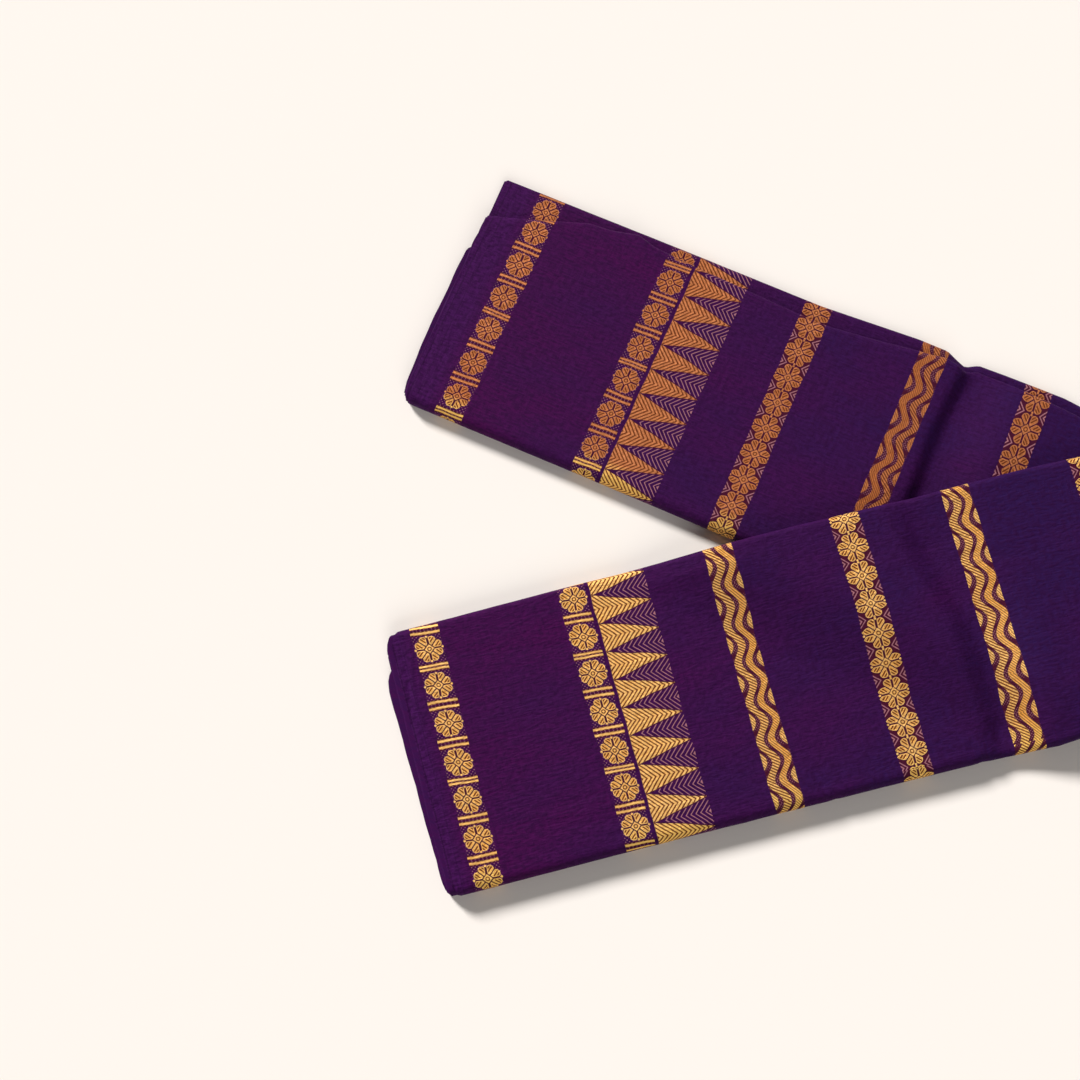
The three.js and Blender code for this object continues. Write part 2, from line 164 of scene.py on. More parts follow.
# Distances in table rows run along the arm from its free end, or across it from its middle.
# shown: the parts of the cloth's section that face up. stretches: names and distances between which
# the cloth is one piece, cut in plain cloth between bands
OVER_ARM = SimpleNamespace(
    name="over_arm",
    at=(-263.6, -177.6), end=0, crease=397, heading=14.4, inner=14.0, turns=-1,
    far=((0, 1), (140, 2.5), (300, 2.5), (397, 1.5), (460, 2.5), (545, 0)),
    near=((0, 0), (140, 0), (300, 1), (397, 2), (460, 4), (545, 0)),
    ledge=((0, 0), (1, 0)),
    top_end=((-96, 8), (-93.5, 4), (-90, 1.6), (-84, 0), (84, 1.2), (91, 2.4), (94, 4.6), (96, 8)),
    low_end=((-96, 9), (-74, 2), (-66, -4), (-58, -5.6), (84, -0.6), (91, 0.8), (94, 3.5), (96, 7)),
    crease_line=((-98, -8), (-86, -6), (-55, -2), (-27, 6), (-2, 13), (40, 15), (68, 18), (96, 12)),
    crease_depth=((-98, 2), (-60, 6.4), (40, 7.4), (75, 6), (98, 3)),
    steep=21, gentle=46,
    cloth_set_back=3.4, skew=-0.55,
    creases=OVER_CREASES, crinkle_seed=3.0, layer_seed=2.0,
    shown=("face", "near_round", "outer_round"),
    stretches=(("outer", 0, 205), ("middle", 205, 372), ("inner", 372, None)),
)
UNDER_ARM = SimpleNamespace(
    name="under_arm",
    at=(-232.1, 178.1), end=-9, crease=367, heading=-23.7, inner=-22.6, turns=1,
    far=((-9, 1), (140, 2.5), (250, 3), (326, 8), (350, 8), (367, 2), (377, 7), (460, 7), (545, 0)),
    near=((-9, 1), (140, 0), (545, 0)),
    ledge=((-9, 25), (22, 15.5), (44, 7.7), (65, 0.5), (83, -0.8), (103, -5.5), (117, -1.4), (150, 1.2),
           (260, 5.6), (300, 3), (337, -0.3), (360, -4.3), (460, 0)),
    top_end=((-96, 3), (-86, 0), (82, 0.8), (90, 2.4), (94, 4.8), (96, 8)),
    low_end=((-96, 1.5), (-93, 0), (-46, 0.5), (-38, -3.6), (50, -3.6), (80, -1), (90, 1.2),
             (94, 3.8), (96, 7)),
    crease_line=((-100, -6), (-92, 8), (-64, 5), (-38, 3), (17, 4), (98, 6)),
    crease_depth=((-100, 6), (98, 5.4)),
    steep=14, gentle=46,
    cloth_set_back=1.2, skew=0.4,
    creases=UNDER_CREASES, crinkle_seed=11.0, layer_seed=9.0,
    shown=("back", "near_round", "inner_round", "ledge", "outer_round"),
    stretches=(("outer", -9, 208), ("middle", 208, 392), ("inner", 392, None)),
)


def smoothstep(value, low, high):
    share = np.clip((value - low) / (high - low), 0, 1)
    return share * share * (3 - 2 * share)


def mix(low, high, share):
    return low + (high - low) * share


def table_at(rows, value):
    """A table's value at a place between its rows"""
    places, values = zip(*rows)
    return np.interp(value, places, values)


def heading(degrees):
    angle = np.radians(degrees)
    return np.stack([np.cos(angle), np.sin(angle)], axis=-1)


def across(degrees):
    angle = np.radians(degrees)
    return np.stack([np.sin(angle), -np.cos(angle)], axis=-1)


def middle(arm, along):
    """The middle of an arm at a distance along it, before any bend at its fold"""
    outer = np.minimum(along, arm.crease)[..., None]
    rest = np.maximum(along - arm.crease, 0)[..., None]
    return np.array(arm.at) + outer * heading(arm.heading) + rest * heading(arm.inner)


def cross(first, second):
    return first[..., 0] * second[..., 1] - first[..., 1] * second[..., 0]


def lay_fold():
    """Where the two arms meet, and the level axis that the strip turns about there"""
    over = middle(OVER_ARM, np.array(OVER_ARM.crease))
    under = middle(UNDER_ARM, np.array(UNDER_ARM.crease))
    over_way = heading(OVER_ARM.inner)
    under_way = heading(UNDER_ARM.inner)
    between = under - over
    over_run = cross(between, under_way) / cross(over_way, under_way)
    under_run = cross(between, over_way) / cross(over_way, under_way)
    half_angle = math.radians((OVER_ARM.inner - UNDER_ARM.inner) / 2)
    back = math.pi * (ARM_GAP / 2 + FOLD_RADIUS) / 2
    OVER_ARM.fold = OVER_ARM.crease + over_run - back / math.cos(half_angle)
    UNDER_ARM.fold = UNDER_ARM.crease + under_run - back / math.cos(half_angle)
    turned = (OVER_ARM.inner + UNDER_ARM.inner) / 2
    point = over + over_way * over_run - heading(turned) * back
    return SimpleNamespace(
        half_angle=half_angle, back=back, heading=turned, point=point, height=THICKNESS + ARM_GAP / 2)


FOLD = lay_fold()


def fanned(arm, along, side):
    """Distance along an arm of a place on a section that turns near the fold to lie along its axis"""
    turn = smoothstep(along, arm.fold - FAN_RUN, arm.fold)
    return along + side * math.tan(FOLD.half_angle) * turn * arm.turns


def plan(arm, along, side):
    """Plan position of a place on an arm"""
    skewed = fanned(arm, along, side)
    bend = smoothstep(skewed, arm.crease - CREASE_BLEND, arm.crease + CREASE_BLEND)
    angle = mix(arm.heading, arm.inner, bend)
    return middle(arm, skewed) + across(angle) * side[..., None]


def edge_line():
    """The under arm's near edge, which carries the over arm"""
    start = plan(UNDER_ARM, np.array(EDGE_FROM), np.array(HALF_WIDTH))
    end = plan(UNDER_ARM, np.array(UNDER_ARM.fold), np.array(HALF_WIDTH))
    return start, (end - start) / np.linalg.norm(end - start)


EDGE_START, EDGE_WAY = edge_line()


def held_up(point):
    """Height of the over arm's underside over a place in plan"""
    inside = cross(EDGE_WAY, point - EDGE_START)
    return (THICKNESS + ARM_GAP) * smoothstep(inside, -DRAPE_RUN, -DRAPE_START)


def pressed(arm, along, side):
    """How much of its thickness the strip keeps at its old cross crease"""
    distance = along - arm.crease - table_at(arm.crease_line, side)
    run = np.where(distance < 0, arm.steep, arm.gentle)
    share = np.maximum(0, 1 - np.abs(distance) / run)
    depth = table_at(arm.crease_depth, side)
    return 1 - depth * share * share * (3 - 2 * share) / THICKNESS


def real_side(arm, along, side):
    """Distance from an arm's middle, with its edges as wide and its ledge as deep as they are there"""
    edges = np.where(side < 0, table_at(arm.far, along), table_at(arm.near, along))
    inward = table_at(arm.ledge, along) * table_at(LEDGE_SHARES, side)
    return (side + inward) * (1 + edges / HALF_WIDTH)


def on_arm(arm, along, side, up):
    """A place on an arm: along it, across it and up through the strip's thickness"""
    wide = real_side(arm, along, side)
    flat = plan(arm, along, wide)
    level = 0
    if arm is OVER_ARM:
        carried = real_side(arm, along, np.clip(side, TUCK_END, NEAR_ROUND))
        level = held_up(plan(arm, along, carried))
    height = level + up * pressed(arm, along, wide)
    return np.concatenate([flat, height[..., None]], axis=-1)


def in_fold(turn, side, up):
    """A place in the fold: turn runs from 0 on the over arm to 1 on the under arm"""
    radius = ARM_GAP / 2 + up
    angle = turn * math.pi
    slide = (turn - 0.5) * 2 * FOLD.back * math.tan(FOLD.half_angle)
    along_axis = slide - side / math.cos(FOLD.half_angle)
    flat = FOLD.point - across(FOLD.heading) * along_axis[..., None]
    flat = flat + heading(FOLD.heading) * (radius * np.sin(angle))[..., None]
    return np.concatenate([flat, (FOLD.height + radius * np.cos(angle))[..., None]], axis=-1)


def line_points(start, end, step):
    count = max(1, round(math.dist(start, end) / step))
    return np.linspace(start, end, count + 1)


def arc_points(centre, radius, first, last, steps):
    angle = np.radians(np.linspace(first, last, steps + 1))
    return np.stack([centre[0] + radius * np.cos(angle), centre[1] + radius * np.sin(angle)], axis=-1)


def cloth_section(inset, flat, hidden):
    """The outermost cloth across the strip, in named parts. flat, hidden: steps on the face and back"""
    edge = EDGE_RADIUS - inset
    ledge = MID_HIGH + inset
    top = THICKNESS - inset
    near = FOLD_RADIUS - inset
    return (
        ("ledge", line_points((INNER_CENTRE[0], ledge), (OUTER_CENTRE[0], ledge), LEDGE_STEP)),
        ("outer_round", arc_points(OUTER_CENTRE, edge, 270, 90, ROUND_STEPS)),
        ("face", line_points((OUTER_CENTRE[0], top), (NEAR_ROUND, top), flat)),
        ("near_round", arc_points(NEAR_CENTRE, near, 90, -90, ROUND_STEPS * 2)),
        ("back", line_points((NEAR_ROUND, inset), (INNER_CENTRE[0], inset), hidden)),
        ("inner_round", arc_points(INNER_CENTRE, edge, 270, 90, ROUND_STEPS)),
    )


def joined(parts):
    """One row of places from parts that share their end places, and each one's first and last"""
    rows = [points[min(number, 1):] for number, (_, points) in enumerate(parts)]
    starts = {}
    place = 0
    for name, points in parts:
        starts[name] = (place, place + len(points) - 1)
        place += len(points) - 1
    return np.concatenate(rows), starts


# How the cloth's own measure across the strip runs on round it. The pattern is drawn in it.
NEAR_ARC = math.pi * FOLD_RADIUS
EDGE_ARC = math.pi * EDGE_RADIUS
LEDGE_JUMP = 6


def cloth_measure(arm, name, share, wide):
    """Cloth's measure at a share of one part of the section, wide from the arm's middle"""
    beyond = 2 * NEAR_ROUND + NEAR_ARC - wide
    if arm is UNDER_ARM:
        return {
            "back": wide,
            "near_round": NEAR_ROUND + NEAR_ARC * (1 - share),
            "face": beyond,
            "inner_round": wide[:, :1] - EDGE_ARC * share,
            "ledge": wide - LEDGE_JUMP,
            "outer_round": wide[:, :1] - LEDGE_JUMP - EDGE_ARC * share,
        }[name]
    return {
        "face": wide,
        "near_round": NEAR_ROUND + NEAR_ARC * share,
        "back": beyond,
        "inner_round": 2 * NEAR_ROUND + NEAR_ARC - INNER_CENTRE[0] + EDGE_ARC * share,
        "ledge": 2 * OUTER_CENTRE[0] - EDGE_ARC - wide,
        "outer_round": wide[:, -1:] - EDGE_ARC * (1 - share),
    }[name]


def section_measures(arm, starts, wide):
    """First and last column of each part of the section, and the cloth's measures in them"""
    measures = []
    for name, (first, last) in starts.items():
        share = np.linspace(0, 1, last - first + 1)[None, :]
        part = wide[:, first:last + 1]
        measures.append((first, last, np.broadcast_to(cloth_measure(arm, name, share, part), part.shape)))
    return measures


def crease_relief(creases, along, side):
    """Height of the listed creases: soft troughs and ridges that fade at both ends"""
    total = np.zeros(np.broadcast(along, side).shape)
    for from_along, from_side, to_along, to_side, half, height in creases:
        run = np.array([to_along - from_along, to_side - from_side], dtype=float)
        length = np.hypot(*run)
        way = run / length
        off_along = along - from_along
        off_side = side - from_side
        share = (off_along * way[0] + off_side * way[1]) / length
        bow = CREASE_BOW * length * np.sin(np.clip(share, 0, 1) * math.pi)
        apart = off_along * way[1] - off_side * way[0] + bow
        taper = smoothstep(share, *CREASE_IN) * (1 - smoothstep(share, *CREASE_OUT))
        total += height * taper * np.exp(-(apart / half) ** 2)
    return total


def crinkle_relief(along, side, seed):
    """Soft crinkles that run along the strip, from seeded noise"""
    def wave(a, b, cell, height):
        return noise.noise(Vector((a / cell[0], b / cell[1], height)))

    every_along, every_side = np.broadcast_arrays(along, side)
    heights = [
        wave(a, b, SHORT_CRINKLE, seed)
        + LONG_CRINKLE_SHARE * wave(a, b, LONG_CRINKLE, seed + LONG_CRINKLE_OFFSET)
        for a, b in zip(every_along.ravel().tolist(), every_side.ravel().tolist())
    ]
    return np.array(heights).reshape(every_along.shape)


def arm_relief(arm, name, along, wide, height):
    """How far the cloth stands off its even surface on one part of the section"""
    crinkles = crinkle_relief(along, wide, arm.crinkle_seed) * height
    if name in arm.shown:
        total = crease_relief(arm.creases, along, wide) + crinkles
        if arm is UNDER_ARM:
            covered = held_up(plan(arm, along, wide)) / (THICKNESS + ARM_GAP)
            return total * (1 - COVERED_SHARE * covered)
        return total
    troughs = crease_relief(HIDDEN_CREASES, along, wide)
    return np.minimum(troughs - np.abs(crinkles) * HIDDEN_CRINKLE_SHARE, 0)


def along_steps(start, end, step):
    return np.linspace(start, end, max(2, round((end - start) / step) + 1))


def end_shift(arm, base, side, up_on_arm, extra):
    """How far a place near the free end is moved along the arm by the shape of that end"""
    fade = 1 - smoothstep(base, arm.end, arm.end + END_BLEND)
    shape = np.where(up_on_arm > FOLD_RADIUS, table_at(arm.top_end, side), table_at(arm.low_end, side))
    return fade * (shape + extra)


def facing(points, flip):
    """Unit directions square to a grid of places"""
    down = np.gradient(points, axis=0)
    over = np.gradient(points, axis=1)
    square = np.cross(over, down)
    square /= np.maximum(np.linalg.norm(square, axis=-1, keepdims=True), 1e-9)
    return -square if flip else square


def arm_cloth_grid(arm, size):
    """Outside and inside places of an arm's outermost cloth, the pattern's measures, and its rows"""
    steps = (SHOWN_STEP, HIDDEN_STEP) if arm is OVER_ARM else (HIDDEN_STEP, SHOWN_STEP)
    outside, starts = joined(cloth_section(0, *steps))
    inside, _ = joined(cloth_section(size.wall / MM, *steps))
    fine_end = arm.end + FINE_RUN
    rows = [along_steps(arm.end, fine_end, 1.0)[:-1], along_steps(fine_end, arm.fold, ROW_STEP)]
    base = np.concatenate(rows)[:, None]
    grids = []
    for section in (outside, inside):
        side = section[None, :, 0]
        up = section[None, :, 1] if arm is OVER_ARM else THICKNESS - section[None, :, 1]
        along = base + end_shift(arm, base, side, up, arm.cloth_set_back)
        grids.append((along, np.broadcast_to(side, along.shape), np.broadcast_to(up, along.shape)))
    along, side, up = grids[0]
    even = on_arm(arm, along, side, up)
    normals = facing(even, arm is UNDER_ARM)
    wide = real_side(arm, along, side)
    relief = np.zeros(along.shape)
    for name, (first, last) in starts.items():
        part = slice(first, last + 1)
        relief[:, part] = arm_relief(arm, name, along[:, part], wide[:, part], size.crinkle / MM)
    relief = np.where(even[..., 2] < FLOOR_REACH, 0, relief)
    places = even + normals * relief[..., None]
    u = fanned(arm, along, wide) + wide * math.tan(math.radians(arm.skew))
    return SimpleNamespace(
        outside=places, inside=on_arm(arm, *grids[1]), normals=facing(places, arm is UNDER_ARM),
        u=u, measures=section_measures(arm, starts, wide), base=base[:, 0], starts=starts)


def fold_cloth_grid(size):
    """The same for the cloth round the fold, whose face runs on from the over arm's"""
    outside, starts = joined(cloth_section(0, FOLD_STEP, HIDDEN_STEP))
    inside, _ = joined(cloth_section(size.wall / MM, FOLD_STEP, HIDDEN_STEP))
    turn = np.linspace(0, 1, FOLD_ROWS)[:, None]
    even, lining = (in_fold(turn, section[None, :, 0], section[None, :, 1]) for section in (outside, inside))
    side = np.broadcast_to(outside[None, :, 0], even.shape[:2])
    run = fanned(OVER_ARM, OVER_ARM.fold, side) + turn * FOLD.back * 2
    relief = crinkle_relief(run, side, FOLD_CRINKLE_SEED) * size.crinkle / MM
    places = even + facing(even, False) * relief[..., None]
    u = run + side * math.tan(math.radians(OVER_ARM.skew))
    return SimpleNamespace(
        outside=places, inside=lining, normals=facing(places, False),
        u=u, measures=section_measures(OVER_ARM, starts, side), base=turn[:, 0], starts=starts)


# Heights in a piece's square for baking of its shown outside, its hidden outside, its inside and rims
SHOWN_SHARE = 0.78
HIDDEN_SHARE = 0.14
INSIDE_STRIP = (0.935, 0.05)
RIM_STRIP = (0.99, 0.006, 0.002)
BAKE_MARGIN = 0.01


def cloth_piece(name, grid, rows, shown, material, flip):
    """One stretch of cloth as a thin shell: its outside, its inside and the rims between them"""
    first, last = rows
    outside = grid.outside[first:last + 1]
    inside = grid.inside[first:last + 1]
    normals = grid.normals[first:last + 1]
    count = outside.shape[0] * outside.shape[1]
    places = np.concatenate([outside.reshape(-1, 3), inside.reshape(-1, 3)]) * MM
    number = np.arange(count).reshape(outside.shape[:2])

    def quads(a, b, c, d):
        corners = np.stack([a, b, c, d], axis=-1).reshape(-1, 4)
        return corners[:, ::-1] if flip else corners

    skin = quads(number[:-1, :-1], number[:-1, 1:], number[1:, 1:], number[1:, :-1])
    lining = skin[:, ::-1] + count
    edges = (
        (number[0, :-1], number[0, 1:]), (number[-1, 1:], number[-1, :-1]),
        (number[1:, 0], number[:-1, 0]), (number[:-1, -1], number[1:, -1]),
    )
    rims = [quads(near, near + count, far + count, far) for near, far in edges]
    faces = np.concatenate([skin, lining, *rims])
    mesh = bpy.data.meshes.new(name)
    mesh.from_pydata(places.tolist(), [], faces.tolist())
    paint_measures(mesh, grid, first, faces % count, len(skin), shown)
    directions = np.concatenate([normals.reshape(-1, 3), -normals.reshape(-1, 3)])
    set_directions(mesh, directions, len(skin) * 2)
    piece = bpy.data.objects.new(name, mesh)
    bpy.context.scene.collection.objects.link(piece)
    mesh.materials.append(material)
    return piece


def set_directions(mesh, directions, smooth_faces):
    """Shade the shell's two skins with the whole arm's directions, and its rims flat"""
    corners = np.zeros(len(mesh.loops), dtype=np.int32)
    mesh.loops.foreach_get("vertex_index", corners)
    turned = directions[corners]
    face_directions = np.zeros(len(mesh.polygons) * 3)
    mesh.polygons.foreach_get("normal", face_directions)
    flat = np.repeat(face_directions.reshape(-1, 3), 4, axis=0)
    turned[smooth_faces * 4:] = flat[smooth_faces * 4:]
    mesh.polygons.foreach_set("use_smooth", np.ones(len(mesh.polygons), dtype=bool))
    mesh.normals_split_custom_set(turned.tolist())


def paint_measures(mesh, grid, first, corners, faces, shown):
    """Fill the cloth's own measures and the baking layout, corner by corner.

    corners are numbered on one skin of the piece, whose outside has so many faces.
    """
    columns = grid.outside.shape[1] - 1
    measure_left = np.zeros((grid.outside.shape[0], columns))
    measure_right = np.zeros((grid.outside.shape[0], columns))
    for start, end, values in grid.measures:
        measure_left[:, start:end] = values[:, :-1]
        measure_right[:, start:end] = values[:, 1:]
    row, column = np.divmod(corners, columns + 1)
    face_column = np.minimum(column.min(axis=1), columns - 1)[:, None]
    left = column == face_column
    v = np.where(left, measure_left[row + first, face_column], measure_right[row + first, face_column])
    u = grid.u[row + first, column]
    cloth = mesh.uv_layers.new(name="Cloth")
    cloth.data.foreach_set("uv", (np.stack([u, v], axis=-1).reshape(-1, 2) * MM).ravel())
    place = np.arange(columns)
    is_shown = (place >= shown[0]) & (place < shown[1])
    step = np.where(is_shown, SHOWN_SHARE / is_shown.sum(), HIDDEN_SHARE / max(1, (~is_shown).sum()))
    down = np.concatenate([[0], np.cumsum(step)])
    bake_u = BAKE_MARGIN + (1 - 2 * BAKE_MARGIN) * row / row.max()
    bake_v = BAKE_MARGIN / 2 + down[column]
    inside_start, inside_height = INSIDE_STRIP
    bake_v[faces:faces * 2] = inside_start + inside_height * column[faces:faces * 2] / columns
    rim_start, rim_step, rim_height = RIM_STRIP
    rim_number = np.arange(corners.shape[0] - faces * 2)[:, None]
    bake_v[faces * 2:] = rim_start + rim_step * (rim_number % 2) + np.array([0, rim_height, rim_height, 0])
    baked = mesh.uv_layers.new(name="OFBake")
    baked.data.foreach_set("uv", np.stack([bake_u, bake_v], axis=-1).ravel())
    mesh.uv_layers.active = cloth


def rows_between(base, start, end):
    """First and last of an arm's rows that lie between two distances"""
    first = int(np.argmin(np.abs(base - start)))
    last = len(base) - 1 if end is None else int(np.argmin(np.abs(base - end)))
    return first, last


def sheet_depth(side, up):
    """Depth through the folded thickness that a place has where the layers lie flat"""
    beyond = np.maximum(side - NEAR_ROUND, 0)
    reach = np.hypot(beyond, up - FOLD_RADIUS)
    return FOLD_RADIUS + np.where(up < FOLD_RADIUS, -reach, reach)


def end_sheets(centre, side, up, seed):
    """How far each sheet's edge stands back at the free end, with a groove between sheets"""
    depth = sheet_depth(side, up) - centre[1]
    past = np.maximum(centre[0] - side, 0)
    nested = np.sign(depth) * np.hypot(depth, past)
    sheet = np.floor(nested / SHEET_PITCH + 0.5)
    groove = np.abs(2 * (nested / SHEET_PITCH + 0.5 - sheet) - 1)
    wander = [
        noise.noise(Vector((a / WANDER_CELL, b * SHEET_CELLS, seed)))
        for a, b in zip(side.ravel().tolist(), sheet.ravel().tolist())
    ]
    return GROOVE_DEPTH * groove ** 3 + SHEET_WANDER * np.array(wander).reshape(side.shape)


def layer_lattice_section(group):
    """Places across and through a group of hidden layers, rounded at both edges"""
    outer = group == "outer"
    centre = OUTER_CENTRE if outer else INNER_CENTRE
    low = MID_HIGH if outer else LAYER_INSET
    high = THICKNESS - LAYER_INSET if outer else MID_LOW
    level = np.linspace(0, 1, LAYER_LEVELS + 1)[None, :]
    flats = np.concatenate([
        [centre[0]],
        OUTER_EDGE_PLACES if outer else [],
        [TUCK_END, TUCK_END + TUCK_SLOPE],
        np.linspace(LAYER_FACE_FROM, NEAR_ROUND, LAYER_FACE_PLACES),
    ])[:, None]
    room = LAYER_INSET * (1 - smoothstep(flats, TUCK_END, TUCK_END + TUCK_SLOPE))
    lows = low + room * outer
    highs = high - room * (not outer)
    ups = mix(lows, highs, level)
    sides = np.broadcast_to(flats, ups.shape)
    middle_up = (lows[0] + highs[0]) / 2
    half = (highs[0] - lows[0]) / 2
    chord = np.sqrt(np.maximum(half ** 2 - (ups[0] - middle_up) ** 2, 0))
    caps = np.linspace(1, 0, CAP_PLACES)[:-1, None]
    cap_sides = flats[0] - caps * chord[None, :]
    cap_ups = np.broadcast_to(ups[0], cap_sides.shape)
    reach = np.abs(ups[-1] - FOLD_RADIUS)
    angles = np.radians(np.linspace(90, NEAR_END, NEAR_PLACES))[1:, None]
    turn = 1 if outer else -1
    near_sides = NEAR_ROUND + reach * np.cos(angles)
    near_ups = FOLD_RADIUS + turn * reach * np.sin(angles)
    return np.concatenate([cap_sides, sides, near_sides]), np.concatenate([cap_ups, ups, near_ups])


def lattice_faces(counts):
    """The six outer sides of a box of steps, as quads of lattice places that face outward"""
    number = np.arange(math.prod(counts)).reshape(counts)

    def quads(sheet, flip):
        corners = [sheet[:-1, :-1], sheet[1:, :-1], sheet[1:, 1:], sheet[:-1, 1:]]
        faces = np.stack(corners, axis=-1).reshape(-1, 4)
        return faces[:, ::-1] if flip else faces

    return [
        quads(number[:, :, 0], True), quads(number[:, :, -1], False),
        quads(number[:, 0, :], False), quads(number[:, -1, :], True),
        quads(number[0], True), quads(number[-1], False),
    ]


# Where each side of a block of layers lies in its square for baking: start, height, and which of the
# block's three directions run along and up it
BLOCK_STRIPS = (
    (0.01, 0.16, 0, 1), (0.19, 0.16, 0, 1), (0.37, 0.1, 0, 2),
    (0.49, 0.1, 0, 2), (0.61, 0.18, 1, 2), (0.81, 0.18, 1, 2),
)
SHARP_EDGE = 40  # degrees


def layers_piece(name, blocks, flip, material):
    """Blocks of hidden layers as one piece, each with its own part of the square for baking"""
    all_places = []
    all_faces = []
    all_bake = []
    total = 0
    for block, places in enumerate(blocks):
        counts = places.shape[:3]
        for faces, (start, height, run, rise) in zip(lattice_faces(counts), BLOCK_STRIPS):
            shares = [
                place / (count - 1) for place, count in zip(np.unravel_index(faces, counts), counts)]
            bake_u = BAKE_MARGIN + (1 - 2 * BAKE_MARGIN) * shares[run]
            bake_v = (block + start + height * shares[rise]) / len(blocks)
            bake = np.stack([bake_u, bake_v], axis=-1)
            ordered = faces[:, ::-1] if flip else faces
            all_bake.append((bake[:, ::-1] if flip else bake).reshape(-1, 2))
            all_faces.append(ordered + total)
        all_places.append(places.reshape(-1, 3))
        total += math.prod(counts)
    places = np.concatenate(all_places) * MM
    faces = np.concatenate(all_faces)
    used, numbers = np.unique(faces, return_inverse=True)
    mesh = bpy.data.meshes.new(name)
    mesh.from_pydata(places[used].tolist(), [], numbers.reshape(faces.shape).tolist())
    baked = mesh.uv_layers.new(name="OFBake")
    baked.data.foreach_set("uv", np.concatenate(all_bake).ravel())
    mesh.polygons.foreach_set("use_smooth", np.ones(len(mesh.polygons), dtype=bool))
    mesh.set_sharp_from_angle(angle=math.radians(SHARP_EDGE))
    mesh.materials.append(material)
    piece = bpy.data.objects.new(name, mesh)
    bpy.context.scene.collection.objects.link(piece)
    return piece


def arm_layer_block(arm, group, start, end):
    """One group of an arm's hidden layers between two distances, its sheets ragged at the free end"""
    sides, ups = layer_lattice_section(group)
    if start == arm.end:
        fine = start + np.array(LAYER_FINE_ROWS)
        base = np.concatenate([fine, along_steps(start + LAYER_FINE_RUN, end, LAYER_STEP)])
    else:
        base = along_steps(start, end, LAYER_STEP)
    base = base[:, None, None]
    side = np.broadcast_to(sides[None], (len(base),) + sides.shape)
    up_through = np.broadcast_to(ups[None], side.shape)
    up = up_through if arm is OVER_ARM else THICKNESS - up_through
    centre = OUTER_CENTRE if group == "outer" else INNER_CENTRE
    ragged = end_sheets(centre, sides, ups, arm.layer_seed)
    groove_fade = 1 - smoothstep(base, arm.end, arm.end + GROOVE_RUN)
    along = base + end_shift(arm, base, side, up, 0) + groove_fade * ragged[None]
    return on_arm(arm, along, side, up)


def fold_layer_block(group):
    sides, ups = layer_lattice_section(group)
    turn = np.linspace(0, 1, FOLD_LAYER_ROWS)[:, None, None]
    side = np.broadcast_to(sides[None], (FOLD_LAYER_ROWS,) + sides.shape)
    return in_fold(turn, side, np.broadcast_to(ups[None], side.shape))


# Where a material's maths nodes are laid out in its editor
NODES_IN_ROW = 28
NODES_LEFT = -5200
NODES_TOP = 1200
NODE_WIDTH = 170
NODE_HEIGHT = 190
THREAD_EDGE = 0.16


class Strand:
    """A number that changes over the cloth: one output of a material's maths nodes"""

    def __init__(self, tree, socket):
        self.tree = tree
        self.socket = socket

    def maths(self, operation, *others, clamp=False):
        node = self.tree.nodes.new("ShaderNodeMath")
        node.operation = operation
        node.use_clamp = clamp
        down, right = divmod(len(self.tree.nodes), NODES_IN_ROW)
        node.location = (NODES_LEFT + NODE_WIDTH * right, NODES_TOP - NODE_HEIGHT * down)
        for slot, value in enumerate((self,) + others):
            if isinstance(value, Strand):
                self.tree.links.new(value.socket, node.inputs[slot])
            else:
                node.inputs[slot].default_value = value
        return Strand(self.tree, node.outputs[0])

    __add__ = partialmethod(maths, "ADD")
    __sub__ = partialmethod(maths, "SUBTRACT")
    __mul__ = partialmethod(maths, "MULTIPLY")
    __truediv__ = partialmethod(maths, "DIVIDE")
    least = partialmethod(maths, "MINIMUM")
    most = partialmethod(maths, "MAXIMUM")
    above = partialmethod(maths, "GREATER_THAN")
    size = partialmethod(maths, "ABSOLUTE")
    fraction = partialmethod(maths, "FRACT")
    cosine = partialmethod(maths, "COSINE")
    whole = partialmethod(maths, "FLOOR")
    held = partialmethod(maths, "MULTIPLY", 1, clamp=True)  # between 0 and 1

    def taken_from(self, value):
        return (self * -1) + value

    def root(self):
        return self.most(0).maths("SQRT")

    def inside(self, softness=THREAD_EDGE):
        """1 where a distance in millimetres is inside a shape, 0 outside it, with a thread's soft edge"""
        return self.maths("MULTIPLY_ADD", 1 / softness, 0.5, clamp=True)

    def without(self, other):
        return self * other.taken_from(1)


def stripe(strand, centre, half):
    """Distance inside a stripe across a strand"""
    return (strand - centre).size().taken_from(half)


def repeats(strand, pitch, start=0.0):
    """Signed distance to the nearest of evenly spaced places"""
    return ((strand - start) / pitch + 0.5).fraction() * pitch - pitch / 2


def choose(switch, first, second):
    """first where the switch is 0 and second where it is 1"""
    return switch * (second - first) + first


# Widths and places of the woven pattern's parts
FLOWER_BAND_HALF = 10.45
FLOWER_REACH = 9.8
NARROW_PITCH = 27.24
WIDE_PITCH = 28.26
FLOWER_PERIOD = NARROW_PITCH + 2 * WIDE_PITCH
WIDE_BARS = (2.15, 1.05)
NARROW_BARS = (1.3, 0.95)
WAVE_BAND_HALF = 10.5
WAVE_REACH = 3.4
RIBBON_OFF = 4.25
LEFT_RIBBON_HALF = 2.85
RIGHT_RIBBON_HALF = 2.5
HATCH = (1.85, 0.25, 0.77, 0.64)  # pitch of the lines, their half width as a share of it, and slopes
TWILL = (1.5, 0.22, 0.6, 0.8)
HATCH_EDGE = 0.12
TWILL_EDGE = 0.2
TWILL_TONE = 0.8
LEAF_SHIFT = 1.3  # how far the half leaves lie from the ribbons' turns
RIGHT_LEAF_SHIFT = 0.8
LEAF_HALF = 6.3
LEAF_HEIGHT = 3.5
LEAF_MARGIN = 0.05
DIAMOND_PITCH = 21.3
